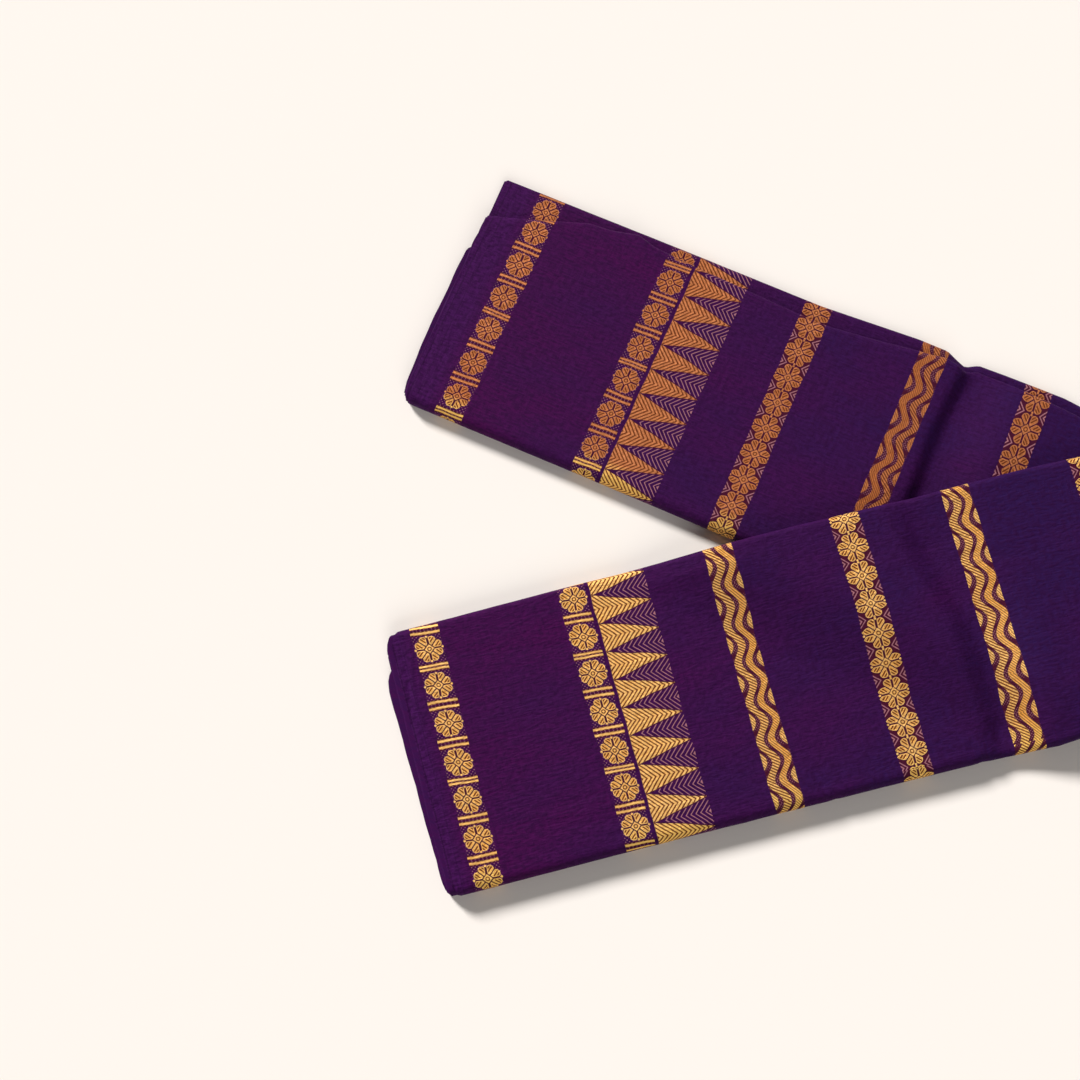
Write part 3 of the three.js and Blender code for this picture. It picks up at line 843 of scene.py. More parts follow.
DIAMOND_REACH = 10.6
TEMPLE_START = 152.0
TEMPLE_LENGTH = 41.5
TEMPLE_PITCH = 20.9
TEMPLE_SLOPE = 0.9
TEMPLE_CLEAR = 0.75
TEMPLE_EDGE_TONE = 0.6
TIP_CLEAR = 7.5
SOLID_END = 1.6
CHEVRON_PITCH = 3.3
CHEVRON_SHARE = 0.4
LILAC_CHEVRON_PITCH = 3.6
LILAC_CHEVRON_SHARE = 0.115
STROKE_PITCH = 1.75
BROWN_EDGE = 0.28  # brown line along each edge of a bar
DARK_EDGE = 0.9  # dark ground round bars and triangles
SEED_RADIUS = 0.48
FLOWER_SEED_PITCH = 1.9
FLOWER_SEED_TONE = 0.8
WAVE_SEED_PITCH = 1.5
WAVE_SEED_TONE = 0.75
TURN_EDGE = 1.5  # run over which the dots fade in beside a ribbon's turn
SOFT_EDGE = 0.5
DIAMOND_LINES = ((4.4, 0.5), (1.5, 0.6))
PETAL_MARGIN = 0.6  # gold rim of a petal, outside its brown strokes
DEEP_PETALS = 0.35
DEEP_TWILL = 0.5
STROKE_SHIFT = 0.12
STROKE_HALF = 0.29
HALF_ROOT = 0.707
ROOT_TWO = 1.414

# Proportions of a flower, as shares of its reach
PETAL_MIDDLE = 0.575
PETAL_HALF = 0.09
PETAL_OFF_AXIS = 0.295
PETAL_ROUND = 0.28
HEART = 0.34
STROKES_FROM = 0.45
CORE = 0.97
CORE_CORNER = 0.41  # slope of its cut corners
DOT_MIDDLE = 0.93
SIDE_DOT = 0.04
# In millimetres: the pointed leaves at a flower's sides, and the gaps between its petals
LEAF_MIDDLE = 6.4
LEAF_RUN = 4.8
LEAF_SIDE = 2.55
LEAF_WIDTH = 2.5
AXIS_GAP = 0.8
SIDE_GAP = 0.2
CORNER_GAP = 0.45
HEART_GAP = 3.15
HEART_RING = (1.25, 0.4)
DOT_RADIUS = 0.8


def band_pair(u, centres):
    """Which of two bands a place is nearer, as 0 or 1, and its distance from that band's middle"""
    second = u.above((centres[0] + centres[1]) / 2)
    return second, u - of_pair(second, centres)


def of_pair(second, values):
    """The first of two values where second is 0, and the other where it is 1"""
    return second * (values[1] - values[0]) + values[0]


def flower(across_band, along_band, reach, pointed):
    """An eight-petalled flower: distances inside its gold, strokes, middle, dots and petals' insides.

    Petals lie in pairs beside both axes. Where pointed, those beside the cross axis end in tips.
    """
    p = across_band.size()
    q = along_band.size()
    a = p.most(q)
    b = p.least(q)
    sideways = p.above(q)
    off_a = ((a - reach * PETAL_MIDDLE).size() - reach * PETAL_HALF).most(0)
    off_b = b - reach * PETAL_OFF_AXIS
    petals = (off_a * off_a + off_b * off_b).root().taken_from(reach * PETAL_ROUND)
    if pointed:
        run = (p - LEAF_MIDDLE) / LEAF_RUN
        leaf = (run * run).taken_from(1) * LEAF_WIDTH - (q - LEAF_SIDE).size()
        petals = choose(sideways, petals, leaf)
    both = p + q
    apart = (a - b) * HALF_ROOT
    petals = petals.least(b + sideways * SIDE_GAP - AXIS_GAP).least(apart - CORNER_GAP)
    petals = petals.least(both * HALF_ROOT - HEART_GAP)
    heart = both.taken_from(reach * HEART) * HALF_ROOT
    ring = stripe((p * p + q * q).root(), *HEART_RING)
    strokes = stripe((apart / STROKE_PITCH + STROKE_SHIFT).fraction(), 0.5, STROKE_HALF) * STROKE_PITCH
    within = petals - PETAL_MARGIN
    brown = strokes.least(within).least(a - reach * STROKES_FROM).most(ring)
    core = (a + b * CORE_CORNER).taken_from(reach * CORE)
    dot_off = a - (sideways * (reach * SIDE_DOT) + reach * DOT_MIDDLE)
    dots = (dot_off * dot_off + b * b).root().taken_from(DOT_RADIUS)
    return petals.most(heart), brown, core, dots, within


def seeds(p, q, pitch):
    """Small dots on a diagonal grid"""
    first = repeats(p + q, pitch * ROOT_TWO).size()
    second = repeats(p - q, pitch * ROOT_TWO).size()
    return first.most(second).taken_from(SEED_RADIUS)


class Pattern:
    """Gold, brown, lilac and dark threads of the bands, gathered as they are woven in

    deep is where the gold is darker, in close twill.
    """
    THREADS = ("gold", "brown", "lilac", "maroon", "deep")

    def __init__(self, zero):
        for thread in self.THREADS:
            setattr(self, thread, zero)

    def weave_in(self, where, *shares):
        for thread, share in zip(self.THREADS, shares, strict=True):
            setattr(self, thread, getattr(self, thread) + where * share)


def flower_bands(pattern, u, s, centres, gaps, lean):
    """Two bands of large flowers between pairs of bars"""
    second, p = band_pair(u, centres)
    shift = s - p * lean - of_pair(second, gaps)
    turn = repeats(shift, FLOWER_PERIOD, FLOWER_PERIOD / 2).size()
    wide_half = WIDE_PITCH / 2
    q = (turn - turn.above(wide_half) * WIDE_PITCH).size()
    petals, brown, core, dots, within = flower(p, q, FLOWER_REACH, False)
    wide_bars = stripe((turn - wide_half).size(), *WIDE_BARS)
    bars = wide_bars.most(stripe(turn.taken_from(FLOWER_PERIOD / 2).size(), *NARROW_BARS))
    where = p.size().taken_from(FLOWER_BAND_HALF).inside()
    gold = petals.most(bars).most(dots).inside()
    browns = brown.most(bars.size().taken_from(BROWN_EDGE)).inside()
    dots_round = seeds(p, q, FLOWER_SEED_PITCH).inside().without(core.inside().most(gold))
    dark = core.most(bars + DARK_EDGE).inside()
    deep = within.inside(SOFT_EDGE) * DEEP_PETALS
    pattern.weave_in(where, gold, browns * gold, dots_round * FLOWER_SEED_TONE, dark, deep)


def diamond_bands(pattern, u, s, centres, starts, pitches, half):
    """Two bands of flowers with chevrons between them at both edges"""
    second, p = band_pair(u, centres)
    turn = (s - of_pair(second, starts)) / of_pair(second, pitches)
    q = ((turn + 0.5).fraction() - 0.5) * DIAMOND_PITCH
    petals, brown, core, dots, within = flower(p, q, DIAMOND_REACH, True)
    rim = p.size().taken_from(half)
    corner = rim + q.size().taken_from(DIAMOND_PITCH / 2)
    far_line, near_line = (stripe(corner, centre, line) for centre, line in DIAMOND_LINES)
    figures = far_line.most(near_line)
    where = rim.inside()
    gold = petals.most(dots).inside()
    lilac = figures.inside().without(gold)
    deep = within.inside(SOFT_EDGE) * DEEP_PETALS
    pattern.weave_in(where, gold, brown.inside() * gold, lilac, where, deep)


def slanting(p, q, pitch, half, slope_q, slope_p):
    """Distance inside slanting lines that repeat"""
    return stripe(((q * slope_q - p * slope_p) / pitch).fraction(), 0.5, half)


def wave_bands(pattern, u, s, centres, starts, period, coarse_left):
    """Two bands with two winding ribbons of gold between half leaves"""
    second, p = band_pair(u, centres)
    q = repeats(s - of_pair(second, starts), period)
    bend = (q * (2 * math.pi / period)).cosine() * WAVE_REACH
    off = p - bend
    left = stripe(off, -RIBBON_OFF, LEFT_RIBBON_HALF)
    right = stripe(off, RIBBON_OFF, RIGHT_RIBBON_HALF)
    hatch_lines = slanting(p, q, *HATCH).inside(HATCH_EDGE)
    twill_lines = slanting(p, q, *TWILL).inside(TWILL_EDGE) * TWILL_TONE
    coarse, fine = (left, right) if coarse_left else (right, left)
    leaf_left = leaf_depth(q + LEAF_SHIFT, p + WAVE_BAND_HALF)
    right_turn = repeats(q, period, period / 2 - RIGHT_LEAF_SHIFT)
    leaf_right = leaf_depth(right_turn, p.taken_from(WAVE_BAND_HALF))
    leaves = leaf_left.most(leaf_right)
    gold = left.most(right).most(leaves).inside()
    brown = (hatch_lines * coarse.inside()).most(twill_lines * fine.most(leaves).inside())
    where = p.size().taken_from(WAVE_BAND_HALF).inside()
    turning = (bend.size() - WAVE_REACH / 2).inside(TURN_EDGE)
    dots = seeds(p, q, WAVE_SEED_PITCH).inside() * turning * WAVE_SEED_TONE
    pattern.weave_in(where, gold, brown * gold, dots.without(gold), where, fine.inside() * DEEP_TWILL)


def leaf_depth(q, depth):
    """Distance inside a half leaf whose straight side lies on the band's edge"""
    share = q / LEAF_HALF
    return ((share * share).taken_from(1) * LEAF_HEIGHT - depth).least(depth + LEAF_MARGIN)


def temple_row(pattern, u, s, start, lean):
    """The row of tall triangles, gold with brown chevrons, and the dark ones between them"""
    along = u - TEMPLE_START
    share = along / TEMPLE_LENGTH
    q = repeats(s - share * lean, TEMPLE_PITCH, start)
    half = share.taken_from(1) * (TEMPLE_PITCH / 2)
    inside = (half - q.size()) * TEMPLE_SLOPE
    row = along.least(along.taken_from(TEMPLE_LENGTH))
    chevrons = ((along + q.size()) / CHEVRON_PITCH).fraction().taken_from(CHEVRON_SHARE) * CHEVRON_PITCH
    between = q.size().taken_from(TEMPLE_PITCH / 2)
    clear = (half.taken_from(TEMPLE_PITCH / 2) - between) * TEMPLE_SLOPE - TEMPLE_CLEAR
    lilac_share = ((along - between) / LILAC_CHEVRON_PITCH).fraction() - 0.5
    lines = lilac_share.size().taken_from(LILAC_CHEVRON_SHARE) * LILAC_CHEVRON_PITCH
    beyond_tip = along - TIP_CLEAR - between
    solid = along - between - (TEMPLE_LENGTH - SOLID_END)
    where = row.inside()
    gold = inside.inside()
    brown = chevrons.least(inside).inside()
    lilac = lines.most(solid).least(clear).least(beyond_tip).inside()
    edge = (inside + DARK_EDGE).inside().without(gold)
    pattern.weave_in(where, gold, brown, lilac, edge * TEMPLE_EDGE_TONE, 0)


def uneven(tree, u, s, per_along, per_side, detail):
    """Seeded noise over the cloth, stretched by the given number of cells to a millimetre"""
    vector = tree.nodes.new("ShaderNodeCombineXYZ")
    tree.links.new((u * per_along).socket, vector.inputs[0])
    tree.links.new((s * per_side).socket, vector.inputs[1])
    cells = tree.nodes.new("ShaderNodeTexNoise")
    cells.noise_dimensions = "2D"
    cells.inputs["Scale"].default_value = 1.0
    cells.inputs["Detail"].default_value = detail
    tree.links.new(vector.outputs[0], cells.inputs["Vector"])
    return Strand(tree, cells.outputs["Fac"])


def blend_colour(tree, share, first, second):
    """A colour between two, each a strand's socket or a plain colour"""
    node = tree.nodes.new("ShaderNodeMix")
    node.data_type = "RGBA"
    tree.links.new(share.socket, node.inputs["Factor"])
    for slot, colour in ((6, first), (7, second)):
        if isinstance(colour, bpy.types.NodeSocket):
            tree.links.new(colour, node.inputs[slot])
        else:
            node.inputs[slot].default_value = (*colour, 1)
    return node.outputs[2]


def new_finish(name):
    material = bpy.data.materials.new(name)
    material.use_nodes = True
    tree = material.node_tree
    shader = tree.nodes["Principled BSDF"]
    return material, tree, shader


GLOSS = 0.06
SHEEN = 0.05
SHEEN_ROUGHNESS = 0.45


def soft_cotton(tree, shader, colours, colour, rough, relief):
    """The cloth's gloss and sheen, with its colour, roughness and relief in millimetres"""
    tree.links.new(colour, shader.inputs["Base Color"])
    tree.links.new(rough.socket, shader.inputs["Roughness"])
    shader.inputs["Specular IOR Level"].default_value = GLOSS
    shader.inputs["Sheen Weight"].default_value = SHEEN
    shader.inputs["Sheen Roughness"].default_value = SHEEN_ROUGHNESS
    shader.inputs["Sheen Tint"].default_value = (*colours.sheen, 1)
    bump = tree.nodes.new("ShaderNodeBump")
    bump.inputs["Distance"].default_value = MM
    bump.inputs["Strength"].default_value = 1.0
    tree.links.new(relief.socket, bump.inputs["Height"])
    tree.links.new(bump.outputs[0], shader.inputs["Normal"])


def in_millimetres(tree, source):
    """The three parts of a place, as strands"""
    split = tree.nodes.new("ShaderNodeSeparateXYZ")
    tree.links.new(source, split.inputs[0])
    return [Strand(tree, output) / MM for output in split.outputs]


def cloth_weave(u, s, pitch):
    """Plain weave: which thread lies on top, and its height"""
    warp = u / pitch
    weft = s / pitch
    over = ((warp.whole() + weft.whole()) * 0.5).fraction().above(0.25)
    warp_round = ((warp.fraction() - 0.5) * math.pi).cosine()
    weft_round = ((weft.fraction() - 0.5) * math.pi).cosine()
    height = choose(over, warp_round * WARP_HEIGHT, weft_round)
    return over, height


# Unevenness of the cloth: cells to a millimetre along and across, and detail
BEND_OF_WEFT = (0.04, 0.06, 0.5)
BEND_OF_WARP = (0.06, 0.04, 0.5)
DRIFT = (0.012, 0.02, 3.0)
STREAKS = (0.17, 0.60, 3.0)
BLOTCHES = (0.34, 0.26, 3.0)
SLUBS = (0.03, 2.2, 1.0)
CROSS_SLUBS = (2.2, 0.03, 1.0)
LAYER_DRIFT = (0.06, 0.3, 3.0)
LAYER_THREADS = (1.6, 2.8, 2.0)
WEFT_WANDER = 1.6  # how far the threads wander from straight
WARP_WANDER = 1.4
WARP_HEIGHT = 0.8  # a warp thread's height beside a weft thread's
TINT_RUN = 0.0016  # how much bluer the ground is with each millimetre toward the fold
HEM_RUN = 0.09
HEM_SHARE = 0.7
# How strongly the painted shadow lines and the painted crinkle shade darken the ground
EDGE_SHADOW_SHARE = 0.75
PAINTED_SHADE_SHARE = 0.75
MAROON_SHARE = 0.9
METAL_SHARE = 0.5
# How far the painted highlight pales the metallic thread at the rolled near edge
EDGE_HIGHLIGHT_SHARE = 0.8
ROUGHNESS = 0.6
LAYER_ROUGHNESS = 0.62
SLUB_HEIGHT = 0.03
METAL_HEIGHT = 0.03
LAYER_THREAD_HEIGHT = 0.12
# Painted shadow lines between the turned edges of the layers near the free end: distance from it, half width
# and waviness
EDGE_SHADOW_LINES = ((4.6, 0.42, 1.5), (10.5, 0.22, 2))
# Across the strip, where the painted highlight on the metallic thread begins, and the run over which it
# grows
EDGE_HIGHLIGHT_START = 78
EDGE_HIGHLIGHT_RUN = 12


def cloth_finish(name, arm, colours, size, bands):
    """Shot cotton with the arm's woven bands in metallic and lilac threads"""
    material, tree, shader = new_finish(name)
    measure = tree.nodes.new("ShaderNodeUVMap")
    measure.uv_map = "Cloth"
    even_u, even_s, _ = in_millimetres(tree, measure.outputs[0])
    u = even_u + (uneven(tree, even_u, even_s, *BEND_OF_WEFT) - 0.5) * WEFT_WANDER
    s = even_s + (uneven(tree, even_u + 300, even_s, *BEND_OF_WARP) - 0.5) * WARP_WANDER
    thread = size.weave_pitch / MM
    over, height = cloth_weave(even_u, even_s, thread)
    grain = ((u / thread).whole() + 0.5) * thread
    cross_grain = ((s / thread).whole() + 0.5) * thread
    pattern = Pattern(u * 0)
    bands(pattern, grain, cross_grain)
    drift = uneven(tree, even_u, even_s, *DRIFT)
    streaks = uneven(tree, even_u, even_s, *STREAKS)
    blotches = uneven(tree, even_u, even_s + 200, *BLOTCHES)
    crinkles = streaks * 0.6 + blotches * 0.4
    slubs = uneven(tree, even_u + 90, even_s, *SLUBS)
    cross_slubs = uneven(tree, even_u, even_s + 60, *CROSS_SLUBS)

    # The ground: two shot threads, bluer toward the fold, a bluer hem, painted shadow lines between the
    # turned edges near the free end, and painted shade of the small crinkles, darker where the crinkle noise
    # is high.
    # Each part counts with its own weight
    threads = slubs * 0.4 - cross_slubs * 0.3 + over * 0.12
    tint = (drift * 0.9 + threads + even_u * TINT_RUN - 0.42).held()
    hem = (even_u * -HEM_RUN + 2.0).held()
    # Painted shadow: dark lines near the free end where the turned edges of the layers meet
    wide, slim = (
        stripe(even_u - streaks * waves, arm.end + off, half) for off, half, waves in EDGE_SHADOW_LINES)
    edge_shadow_lines = wide.most(slim).inside(SOFT_EDGE)
    # Painted shade: the ground darkens toward dark purple where the crinkle and slub noise is high, standing
    # in for the shade of small crinkles
    painted_crinkle_shade = (crinkles * 3.4 + slubs * 0.9 + cross_slubs * 0.9 - 2.1).held()
    ground = blend_colour(tree, tint, colours.red_purple, colours.blue_purple)
    for share, over_it in (
        (hem * HEM_SHARE, colours.hem_purple),
        (edge_shadow_lines * EDGE_SHADOW_SHARE, colours.shade_and_thread_purple),
        (painted_crinkle_shade * PAINTED_SHADE_SHARE, colours.shade_and_thread_purple),
        (pattern.maroon * MAROON_SHARE, colours.maroon),
    ):
        ground = blend_colour(tree, share, ground, over_it)

    # The metallic thread: uneven, darker in close twill, and paler gold where the near edge rolls over, a
    # painted highlight of the thread's shine there
    zari_tone = (drift * 0.5 + crinkles * 1.2 + cross_slubs * 0.5 - pattern.deep * 0.7 - 0.45).held()
    # Painted light: the same metallic thread is a brighter, yellower gold on the over arm and a darker,
    # copper-like gold on the under arm, for how light falls on each arm
    gold, pale = {
        "over_arm": (colours.over_lit_gold, colours.over_lit_pale),
        "under_arm": (colours.under_shaded_gold, colours.under_shaded_pale),
    }[arm.name]
    zari = blend_colour(tree, zari_tone, gold, pale)
    # Painted highlight: the metallic thread turns paler toward the near edge, where it rolls over
    painted_edge_highlight = ((even_s - EDGE_HIGHLIGHT_START) / EDGE_HIGHLIGHT_RUN).held()
    zari = blend_colour(tree, painted_edge_highlight * EDGE_HIGHLIGHT_SHARE, zari, colours.edge_highlight_gold)
    metal = pattern.gold.without(pattern.brown * 0.7)
    tree.links.new((metal * METAL_SHARE).socket, shader.inputs["Metallic"])

    colour = blend_colour(tree, pattern.lilac, ground, colours.lilac)
    colour = blend_colour(tree, pattern.gold, colour, zari)
    colour = blend_colour(tree, pattern.brown, colour, colours.brown)
    rough = metal * -0.18 + (crinkles * 0.12 + ROUGHNESS)
    relief = height * (size.weave_height / MM) + (crinkles - 0.5) * (size.fine_crinkle / MM)
    relief = relief + slubs * SLUB_HEIGHT + metal * METAL_HEIGHT
    soft_cotton(tree, shader, colours, colour, rough, relief)
    return material


def over_bands(pattern, u, s):
    flower_bands(pattern, u, s, centres=(30, 139), gaps=(-65.0, -45.7), lean=0.08)
    wave_bands(pattern, u, s, centres=(248, 424.8), starts=(-26.2, 0.0), period=28.5, coarse_left=True)
    diamond_bands(
        pattern, u, s, centres=(342, 521.3), starts=(-72.1, -76.0), pitches=(21.3, 21.3), half=11.0)
    temple_row(pattern, u, s, start=-76.3, lean=2)


def under_bands(pattern, u, s):
    flower_bands(pattern, u, s, centres=(30, 139), gaps=(8.3, 3.7), lean=-0.03)
    diamond_bands(
        pattern, u, s, centres=(247.8, 423.8), starts=(-11.7, -65.1), pitches=(21.3, 26.6), half=10.6)
    wave_bands(pattern, u, s, centres=(340, 508), starts=(-64.1, 0.0), period=28.8, coarse_left=False)
    temple_row(pattern, u, s, start=-71.6, lean=-2)


def layers_finish(colours):
    """Plain shot cotton for the layers that show at the free ends"""
    material, tree, shader = new_finish("saree_layered_cotton")
    place = tree.nodes.new("ShaderNodeTexCoord")
    x, y, z = in_millimetres(tree, place.outputs["Object"])
    drift = uneven(tree, x + y, z * 3 + y, *LAYER_DRIFT)
    threads = uneven(tree, x * 1.2 + y, z, *LAYER_THREADS)
    tint = (drift * 0.9 + threads * 0.5 - 0.2).held()
    colour = blend_colour(tree, tint, colours.red_purple, colours.blue_purple)
    colour = blend_colour(tree, threads * 0.5, colour, colours.shade_and_thread_purple)
    rough = threads * 0.15 + LAYER_ROUGHNESS
    soft_cotton(tree, shader, colours, colour, rough, threads * LAYER_THREAD_HEIGHT)
    return material


def layered(colours):
    """The layers' finish, made once and shared"""
    return bpy.data.materials.get("saree_layered_cotton") or layers_finish(colours)


def arm_finish(arm, colours, size):
    """An arm's finish, made once and shared"""
    name = f"saree_{arm.name}_cloth"
    bands = over_bands if arm is OVER_ARM else under_bands
    return bpy.data.materials.get(name) or cloth_finish(name, arm, colours, size, bands)


SHOWN_ROUND = 8  # columns of the near round that show from above


def build_arm(arm, scene):
    """An arm's outermost cloth and its hidden layers, stretch by stretch"""
    size = scene.saree_size
    colours = scene.saree_colours
    grid = arm_cloth_grid(arm, size)
    starts = grid.starts
    if arm is OVER_ARM:
        shown = (starts["outer_round"][0], starts["near_round"][0] + SHOWN_ROUND)
    else:
        shown = (starts["near_round"][1] - SHOWN_ROUND, starts["inner_round"][1])
    for name, start, end in arm.stretches:
        stop = arm.fold - SEAM_GAP if end is None else end
        blocks = [arm_layer_block(arm, group, start, stop) for group in ("outer", "inner")]
        layers = layers_piece(f"{arm.name}_{name}_layers", blocks, arm is OVER_ARM, layered(colours))
        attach(layers, "root")
        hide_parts(f"{arm.name}_upper_layers", f"{arm.name}_lower_layers")
        rows = rows_between(grid.base, start, end)
        finish = arm_finish(arm, colours, size)
        cloth = cloth_piece(f"{arm.name}_{name}_cloth", grid, rows, shown, finish, arm is UNDER_ARM)
        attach(cloth, "root")
        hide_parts(f"{arm.name}_cloth")


def build_fold(scene):
    """The cloth and the hidden layers of the turn where the two arms meet"""
    colours = scene.saree_colours
    grid = fold_cloth_grid(scene.saree_size)
    blocks = [fold_layer_block(group) for group in ("outer", "inner")]
    layers = layers_piece("fold_layers", blocks, True, layered(colours))
    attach(layers, "root")
    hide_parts("fold_outer_layers", "fold_inner_layers")
    shown = (grid.starts["outer_round"][0], grid.starts["near_round"][1])
    finish = arm_finish(OVER_ARM, colours, scene.saree_size)
    cloth = cloth_piece("fold_cloth_turn", grid, (0, FOLD_ROWS - 1), shown, finish, False)
    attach(cloth, "root")
    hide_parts("fold_cloth")


def length_size(name, description, default, low, high):
    return FloatProperty(name=name, description=description, default=default, min=low, max=high,
                         unit="LENGTH", precision=5)


def colour(name, description, default):
    return FloatVectorProperty(name=name, description=description, default=default, size=3,
                               subtype="COLOR", min=0.0, max=1.0)


class SareeSize(bpy.types.PropertyGroup):
    """Sizes of the cloth that do not change the folded shape"""
    wall: length_size("Cloth wall", "Thickness of the outermost cloth's shell", 0.0009, 0.0005, 0.0013)
    crinkle: length_size("Crinkle height", "Height of the soft crinkles in the mesh", 0.00016, 0, 0.0005)
    fine_crinkle: length_size("Fine crinkle height", "Height of the fine crinkles in the finish",
                              0.0008, 0, 0.002)
    weave_pitch: length_size("Thread pitch", "Distance between threads of the weave", 0.0003, 0.0001,
                             0.002)
    weave_height: length_size("Thread height", "Height of the threads in the finish", 0.00005, 0, 0.0003)


class SareeColours(bpy.types.PropertyGroup):
    """Thread colours of the saree, with painted shade and painted highlight colours among them"""
    red_purple: colour("Red-purple thread", "Redder of the two ground threads", (0.066, 0.0022, 0.064))
    blue_purple: colour("Blue-purple thread", "Bluer of the two ground threads", (0.026, 0.006, 0.066))
    hem_purple: colour("Hem purple", "Ground beyond the first band", (0.056, 0.006, 0.088))
    # Painted shade: dark purple for the shade of the small crinkles and the shadow lines at the turned edges
    # near the free end; on the hidden layers it also darkens some threads
    shade_and_thread_purple: colour("Deep purple", "Ground in its small hollows", (0.026, 0.002, 0.036))
    sheen: colour("Sheen", "Tint of the soft sheen", (0.50, 0.12, 0.70))
    # Painted light: the over arm's gold and the under arm's copper below are lit and shaded copies of one
    # metallic thread
    over_lit_gold: colour("Gold thread, over arm", "Metallic thread on the over arm", (0.88, 0.38, 0.062))
    over_lit_pale: colour("Pale gold, over arm", "Where the metallic thread is lighter", (1.0, 0.62, 0.22))
    # Painted shade: the under arm's metallic thread, darker and copper-like as a shaded copy of the over
    # arm's gold
    under_shaded_gold: colour("Copper thread, under arm", "Metallic thread on the under arm",
                         (0.48, 0.138, 0.036))
    under_shaded_pale: colour("Pale copper, under arm", "Where the metallic thread is lighter",
                       (0.62, 0.228, 0.090))
    # Painted highlight: a paler gold that stands in for the metallic thread's shine where the near edge
    # rolls over
    edge_highlight_gold: colour("Rolled edge gold", "Metallic thread where the near edge rolls over",
                      (1.0, 0.62, 0.15))
    brown: colour("Brown thread", "Lines inside the woven figures", (0.17, 0.040, 0.012))
    maroon: colour("Maroon thread", "Ground inside the woven figures", (0.066, 0.006, 0.020))
    lilac: colour("Lilac thread", "Small figures between the metallic ones", (0.38, 0.15, 0.18))


class SareeStage(bpy.types.PropertyGroup):
    """The floor, the light and the camera"""
    floor: colour("Floor", "Colour of the plain floor", (0.96, 0.89, 0.825))
    key: FloatProperty(name="Key light", description="Strength of the soft light from the upper left",
                       default=4.85, min=0.0)
    near: FloatProperty(name="Near light", description="Strength of the low light on the viewer's side",
                        default=0.95, min=0.0)
    ambient: FloatProperty(name="Ambient light", description="Strength of the even light all round",
                           default=0.105, min=0.0)


class SAREE_OT_over_arm(bpy.types.Operator):
    """Lay the over arm: the free stretch that rests on the under arm"""
    bl_idname = "saree.over_arm"
    bl_label = "Over Arm"

    def execute(self, context):
        build_arm(OVER_ARM, context.scene)
        return {"FINISHED"}


class SAREE_OT_under_arm(bpy.types.Operator):
    """Lay the under arm: the stretch that lies flat underneath"""
    bl_idname = "saree.under_arm"
    bl_label = "Under Arm"

    def execute(self, context):
        build_arm(UNDER_ARM, context.scene)
        return {"FINISHED"}


class SAREE_OT_fold(bpy.types.Operator):
    """Turn the strip over where its two arms meet"""
    bl_idname = "saree.fold"
    bl_label = "Fold"

    def execute(self, context):
        build_fold(context.scene)
        return {"FINISHED"}


class SAREE_OT_stage(bpy.types.Operator):
    """Set out the floor, the soft lights and the camera at the photograph's angle"""
    bl_idname = "saree.stage"
    bl_label = "Stage"

    def execute(self, context):
        stage = context.scene.saree_stage
        lay_floor(stage)
        hang_lights(context.scene, stage)
        set_camera(context.scene)
        return {"FINISHED"}


class SAREE_PT_panel(bpy.types.Panel):
    """Lists the saree's pieces, sizes and colours"""
    bl_idname = "SAREE_PT_panel"
    bl_label = "Folded Saree"
    bl_space_type = "VIEW_3D"
    bl_region_type = "UI"
    bl_category = "Saree"

    def draw(self, context):
        column = self.layout.column(align=True)
        for operator in OPERATORS:
            column.operator(operator.bl_idname)
        for group in (context.scene.saree_size, context.scene.saree_colours, context.scene.saree_stage):
            box = self.layout.box()
            for name in group.bl_rna.properties.keys():
                if name not in ("rna_type", "name"):
                    box.prop(group, name)


# The stage: half width and height of the floor, in metres, and both suns' azimuth, height and spread
FLOOR_HALF = 4.0
FLOOR_LEVEL = -0.0002
FLOOR_ROUGHNESS = 0.9
FLOOR_GLOSS = 0.1
KEY_SUN = (130, 30, 13)
NEAR_SUN = (-84, 36, 40)
LAMP_DISTANCE = 2
LENS = 60
SENSOR = 36
CAMERA_PLACE = (-0.1754, -0.2934, 1.290)
CAMERA_TILT = 12.33


def lay_floor(stage):
    material, _, shader = new_finish("plain_floor")
    shader.inputs["Base Color"].default_value = (*stage.floor, 1)
    shader.inputs["Roughness"].default_value = FLOOR_ROUGHNESS
    shader.inputs["Specular IOR Level"].default_value = FLOOR_GLOSS
    mesh = bpy.data.meshes.new("floor")
    ways = ((-1, -1), (1, -1), (1, 1), (-1, 1))
    corners = [(x * FLOOR_HALF, y * FLOOR_HALF, FLOOR_LEVEL) for x, y in ways]
    mesh.from_pydata(corners, [], [(0, 1, 2, 3)])
    mesh.materials.append(material)
    floor = bpy.data.objects.new("floor", mesh)
    bpy.context.scene.collection.objects.link(floor)


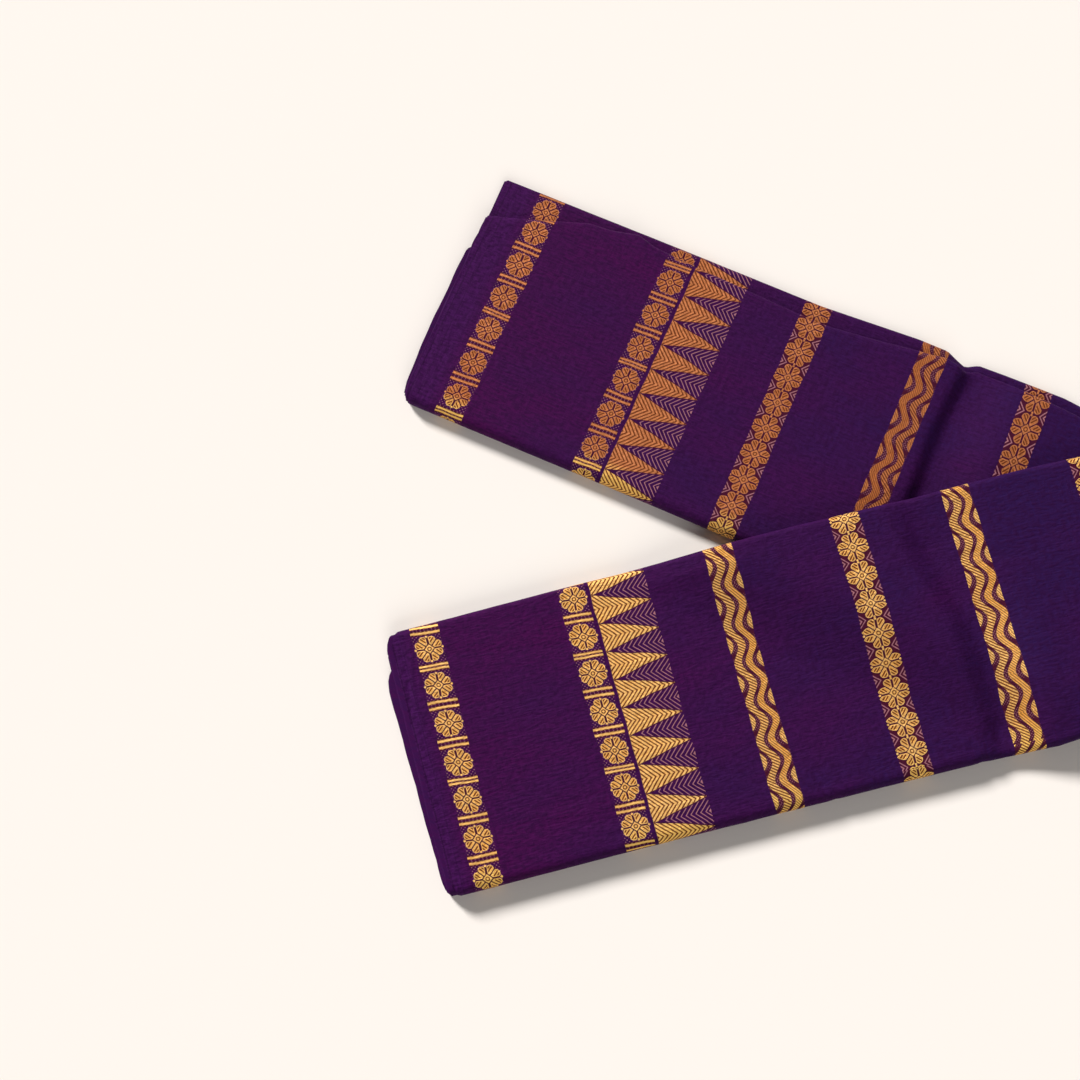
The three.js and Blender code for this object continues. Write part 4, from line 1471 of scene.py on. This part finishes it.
def soft_sun(scene, name, sun, strength):
    """A distant soft light. Its azimuth counts from +X toward +Y, and its height up from the floor"""
    azimuth, height, spread = (math.radians(angle) for angle in sun)
    light = bpy.data.lights.new(name, "SUN")
    light.energy = strength
    light.angle = spread
    lamp = bpy.data.objects.new(name, light)
    level = math.cos(height)
    toward = Vector((level * math.cos(azimuth), level * math.sin(azimuth), math.sin(height)))
    lamp.location = toward * LAMP_DISTANCE
    lamp.rotation_euler = toward.to_track_quat("Z", "Y").to_euler()
    scene.collection.objects.link(lamp)


def hang_lights(scene, stage):
    world = bpy.data.worlds.new("soft_room")
    world.use_nodes = True
    background = world.node_tree.nodes["Background"]
    background.inputs["Color"].default_value = (1.0, 1.0, 1.0, 1)
    background.inputs["Strength"].default_value = stage.ambient
    scene.world = world
    soft_sun(scene, "key_light", KEY_SUN, stage.key)
    soft_sun(scene, "near_light", NEAR_SUN, stage.near)
    scene.view_settings.view_transform = "Standard"


def set_camera(scene):
    lens = bpy.data.cameras.new("camera")
    lens.sensor_width = SENSOR
    lens.lens = LENS
    lens.dof.use_dof = False
    camera = bpy.data.objects.new("camera", lens)
    camera.location = CAMERA_PLACE
    camera.rotation_euler = (math.radians(CAMERA_TILT), 0, 0)
    scene.collection.objects.link(camera)
    scene.camera = camera


OPERATORS = (SAREE_OT_over_arm, SAREE_OT_under_arm, SAREE_OT_fold, SAREE_OT_stage)
GROUPS = {"saree_size": SareeSize, "saree_colours": SareeColours, "saree_stage": SareeStage}


def register():
    for group in GROUPS.values():
        bpy.utils.register_class(group)
    for operator in OPERATORS:
        bpy.utils.register_class(operator)
    bpy.utils.register_class(SAREE_PT_panel)
    for name, group in GROUPS.items():
        setattr(bpy.types.Scene, name, PointerProperty(type=group))


def unregister():
    for name in GROUPS:
        delattr(bpy.types.Scene, name)
    bpy.utils.unregister_class(SAREE_PT_panel)
    for operator in reversed(OPERATORS):
        bpy.utils.unregister_class(operator)
    for group in reversed(list(GROUPS.values())):
        bpy.utils.unregister_class(group)


def main():
    register()
    bpy.ops.saree.over_arm()
    bpy.ops.saree.under_arm()
    bpy.ops.saree.fold()
    bpy.ops.saree.stage()


if __name__ == "__main__":
    main()
